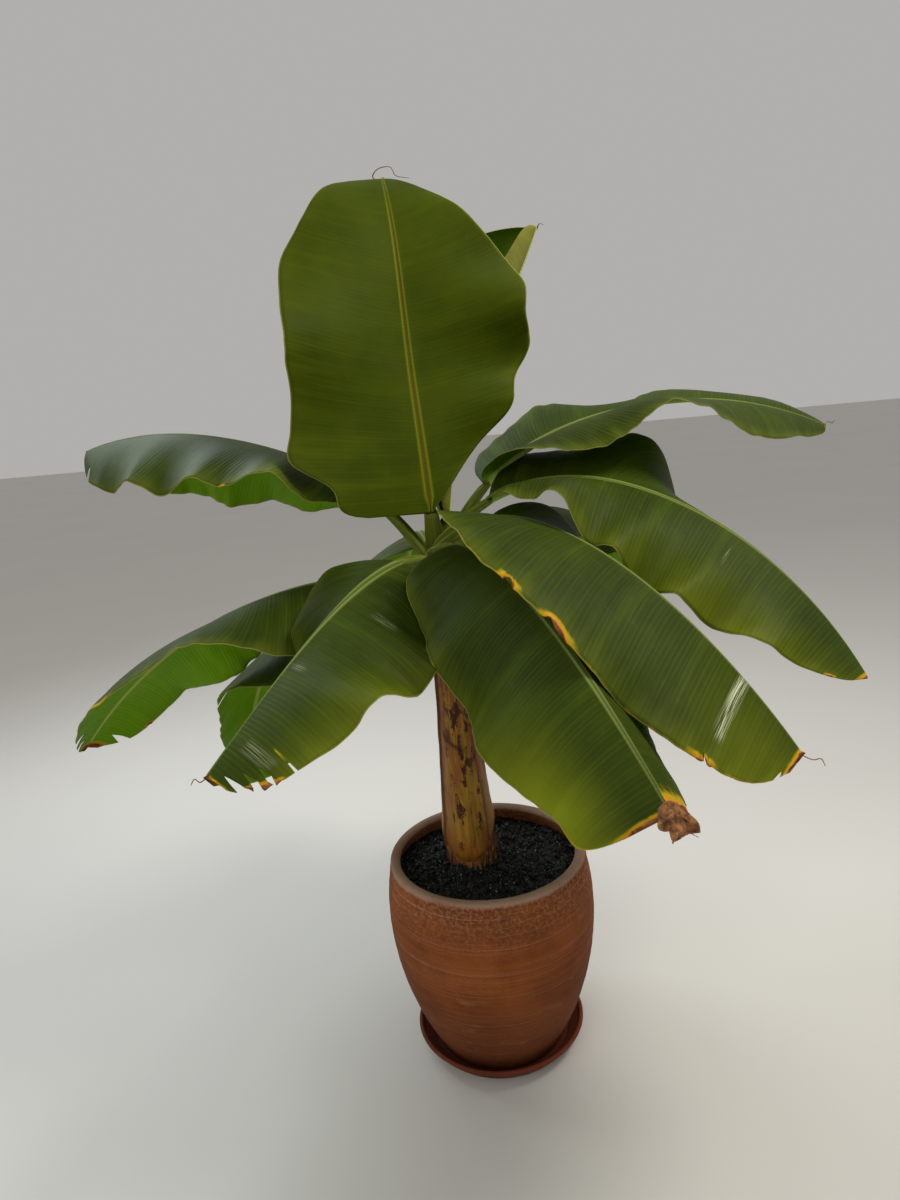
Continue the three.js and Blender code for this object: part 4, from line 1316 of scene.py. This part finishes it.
def fibre_shape():
    """A thin, tapering, bent strip of dry sheath, standing on its root."""
    thick = FIBRE_HALF_THICK
    points = []
    for height in np.linspace(0, 1, FIBRE_RINGS):
        half = FIBRE_HALF_WIDTH * (1 - FIBRE_TAPER * height)
        bend = FIBRE_LENGTH * FIBRE_BEND * height**2
        for x, y in ((-half, -thick), (half, -thick), (half, thick), (-half, thick)):
            points.append((x, y + bend, height * FIBRE_LENGTH))
    faces = grid_faces(FIBRE_RINGS, 4, closed=True).tolist()
    last = 4 * FIBRE_RINGS - 4
    return points, [*faces, (3, 2, 1, 0), (last, last + 1, last + 2, last + 3)]


def foot_band():
    """The ring round the stem's foot that the fibres grow from."""
    turn = np.radians(np.linspace(*FIBRE_TURNS, FIBRE_COLUMNS))
    rows = []
    for height in FIBRE_HEIGHTS:
        x, y, radius, _ = stem_axis(SOIL_Z + height)
        rows.append(round_points(x, y, radius + FIBRE_STAND_OFF, turn, SOIL_Z + height))
    return np.concatenate(rows), grid_faces(len(FIBRE_HEIGHTS), FIBRE_COLUMNS)


def place_light(name, spot, aim_height, watts, size, colour):
    lamp = bpy.data.lights.new(name, "AREA")
    lamp.energy = watts
    lamp.size = size
    lamp.color = colour
    holder = new_object(name, lamp)
    holder.location = spot
    aim = Vector((0, 0, aim_height)) - Vector(spot)
    holder.rotation_euler = aim.to_track_quat("-Z", "Y").to_euler()


def make_room():
    side = FLOOR_REACH
    corners = [(-side, -side, 0), (side, -side, 0), (side, side, 0), (-side, side, 0)]
    floor = new_plain("floor", corners, [(0, 1, 2, 3)])
    floor.data.materials.append(floor_finish())
    world = bpy.data.worlds.new("room")
    world.use_nodes = True
    world.node_tree.nodes["Background"].inputs["Color"].default_value = ROOM_COLOUR
    world.node_tree.nodes["Background"].inputs["Strength"].default_value = ROOM_STRENGTH
    bpy.context.scene.world = world
    for name, facts in LIGHTS.items():
        place_light(name, *facts)


def set_camera():
    lens = bpy.data.cameras.new("camera")
    lens.lens = CAMERA_LENS
    eye = new_object("camera", lens)
    pitch = math.radians(CAMERA_PITCH)
    roll = math.radians(CAMERA_ROLL)
    forward = Vector((0, math.cos(pitch), -math.sin(pitch)))
    down = Vector((0, -math.sin(pitch), -math.cos(pitch)))
    right = Vector((1, 0, 0))
    x = right * math.cos(roll) + down * math.sin(roll)
    y = right * math.sin(roll) - down * math.cos(roll)
    turn = Matrix((x, y, -forward)).transposed()
    eye.matrix_world = Matrix.Translation(CAMERA_SPOT) @ turn.to_4x4()
    bpy.context.scene.camera = eye


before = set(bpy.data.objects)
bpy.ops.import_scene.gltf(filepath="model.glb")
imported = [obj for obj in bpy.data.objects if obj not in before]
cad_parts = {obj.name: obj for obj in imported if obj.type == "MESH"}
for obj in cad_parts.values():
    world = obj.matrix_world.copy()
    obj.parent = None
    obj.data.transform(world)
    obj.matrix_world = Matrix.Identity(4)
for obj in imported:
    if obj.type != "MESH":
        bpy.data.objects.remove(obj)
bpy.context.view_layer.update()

dull = {"rim": 0.1, "specular": 0.05, "roughness": 0.6}
leaf_skins = [leaf_finish("leaf_top", LEAF_TOP), leaf_finish("leaf_under", LEAF_UNDER_PAINTED_GLOW)]
young_skins = [
    leaf_finish("young_top", YOUNG_TOP, patches=0.5, veins=0.03, **dull),
    leaf_finish("young_under", YOUNG_UNDER_PAINTED_GLOW, veins=0.05),
]
rolled_skins = [
    leaf_finish("rolled_top", ROLLED_TOP_PAINTED_GLOW, patches=0.6, veins=0.05, **dull),
    leaf_finish("rolled_under", ROLLED_UNDER, patches=0.9, veins=0.06, **dull),
]
dry_scrap = scrap_finish()
stalk_skin = stalk_finish("stalk_skin", STALK_GREENS)
young_stalk_skin = stalk_finish("young_stalk_skin", YOUNG_STALK_GREENS)
skins = {"furled": (rolled_skins, young_stalk_skin), "upright": (young_skins, young_stalk_skin)}
for order, leaf in enumerate(LEAVES):
    blade_skins, its_stalk_skin = skins.get(leaf["name"], (leaf_skins, stalk_skin))
    make_blade(leaf, 3 + order, blade_skins)
    make_stalk(leaf, order, its_stalk_skin)
    if "thread" in leaf:
        make_thread(leaf, dry_scrap)
    if leaf["name"] == "front":
        make_scrap(leaf, dry_scrap)

make_stem(stem_finish())
scattered(
    "foot_fibres", foot_band(), fibre_shape(), FIBRES_PER_AREA, 1, FIBRE_SEED, dry_scrap,
    FIBRE_TILT,
)
make_saucer(clay_finish("saucer_clay", SAUCER_CLAY))
make_pot(clay_finish("pot_clay", POT_CLAY, PALE_RIM))
soil_top = make_soil(soil_finish("peat", 0.66))
crumb_skin = soil_finish("peat_crumbs", 0.63)
scattered(
    "soil_crumbs", soil_top, crumb_shape(), CRUMBS_PER_AREA, CRUMB_SIZE * MM, CRUMB_SEEDS[1], crumb_skin,
)

make_room()
set_camera()
bpy.context.scene.view_settings.view_transform = "Standard"
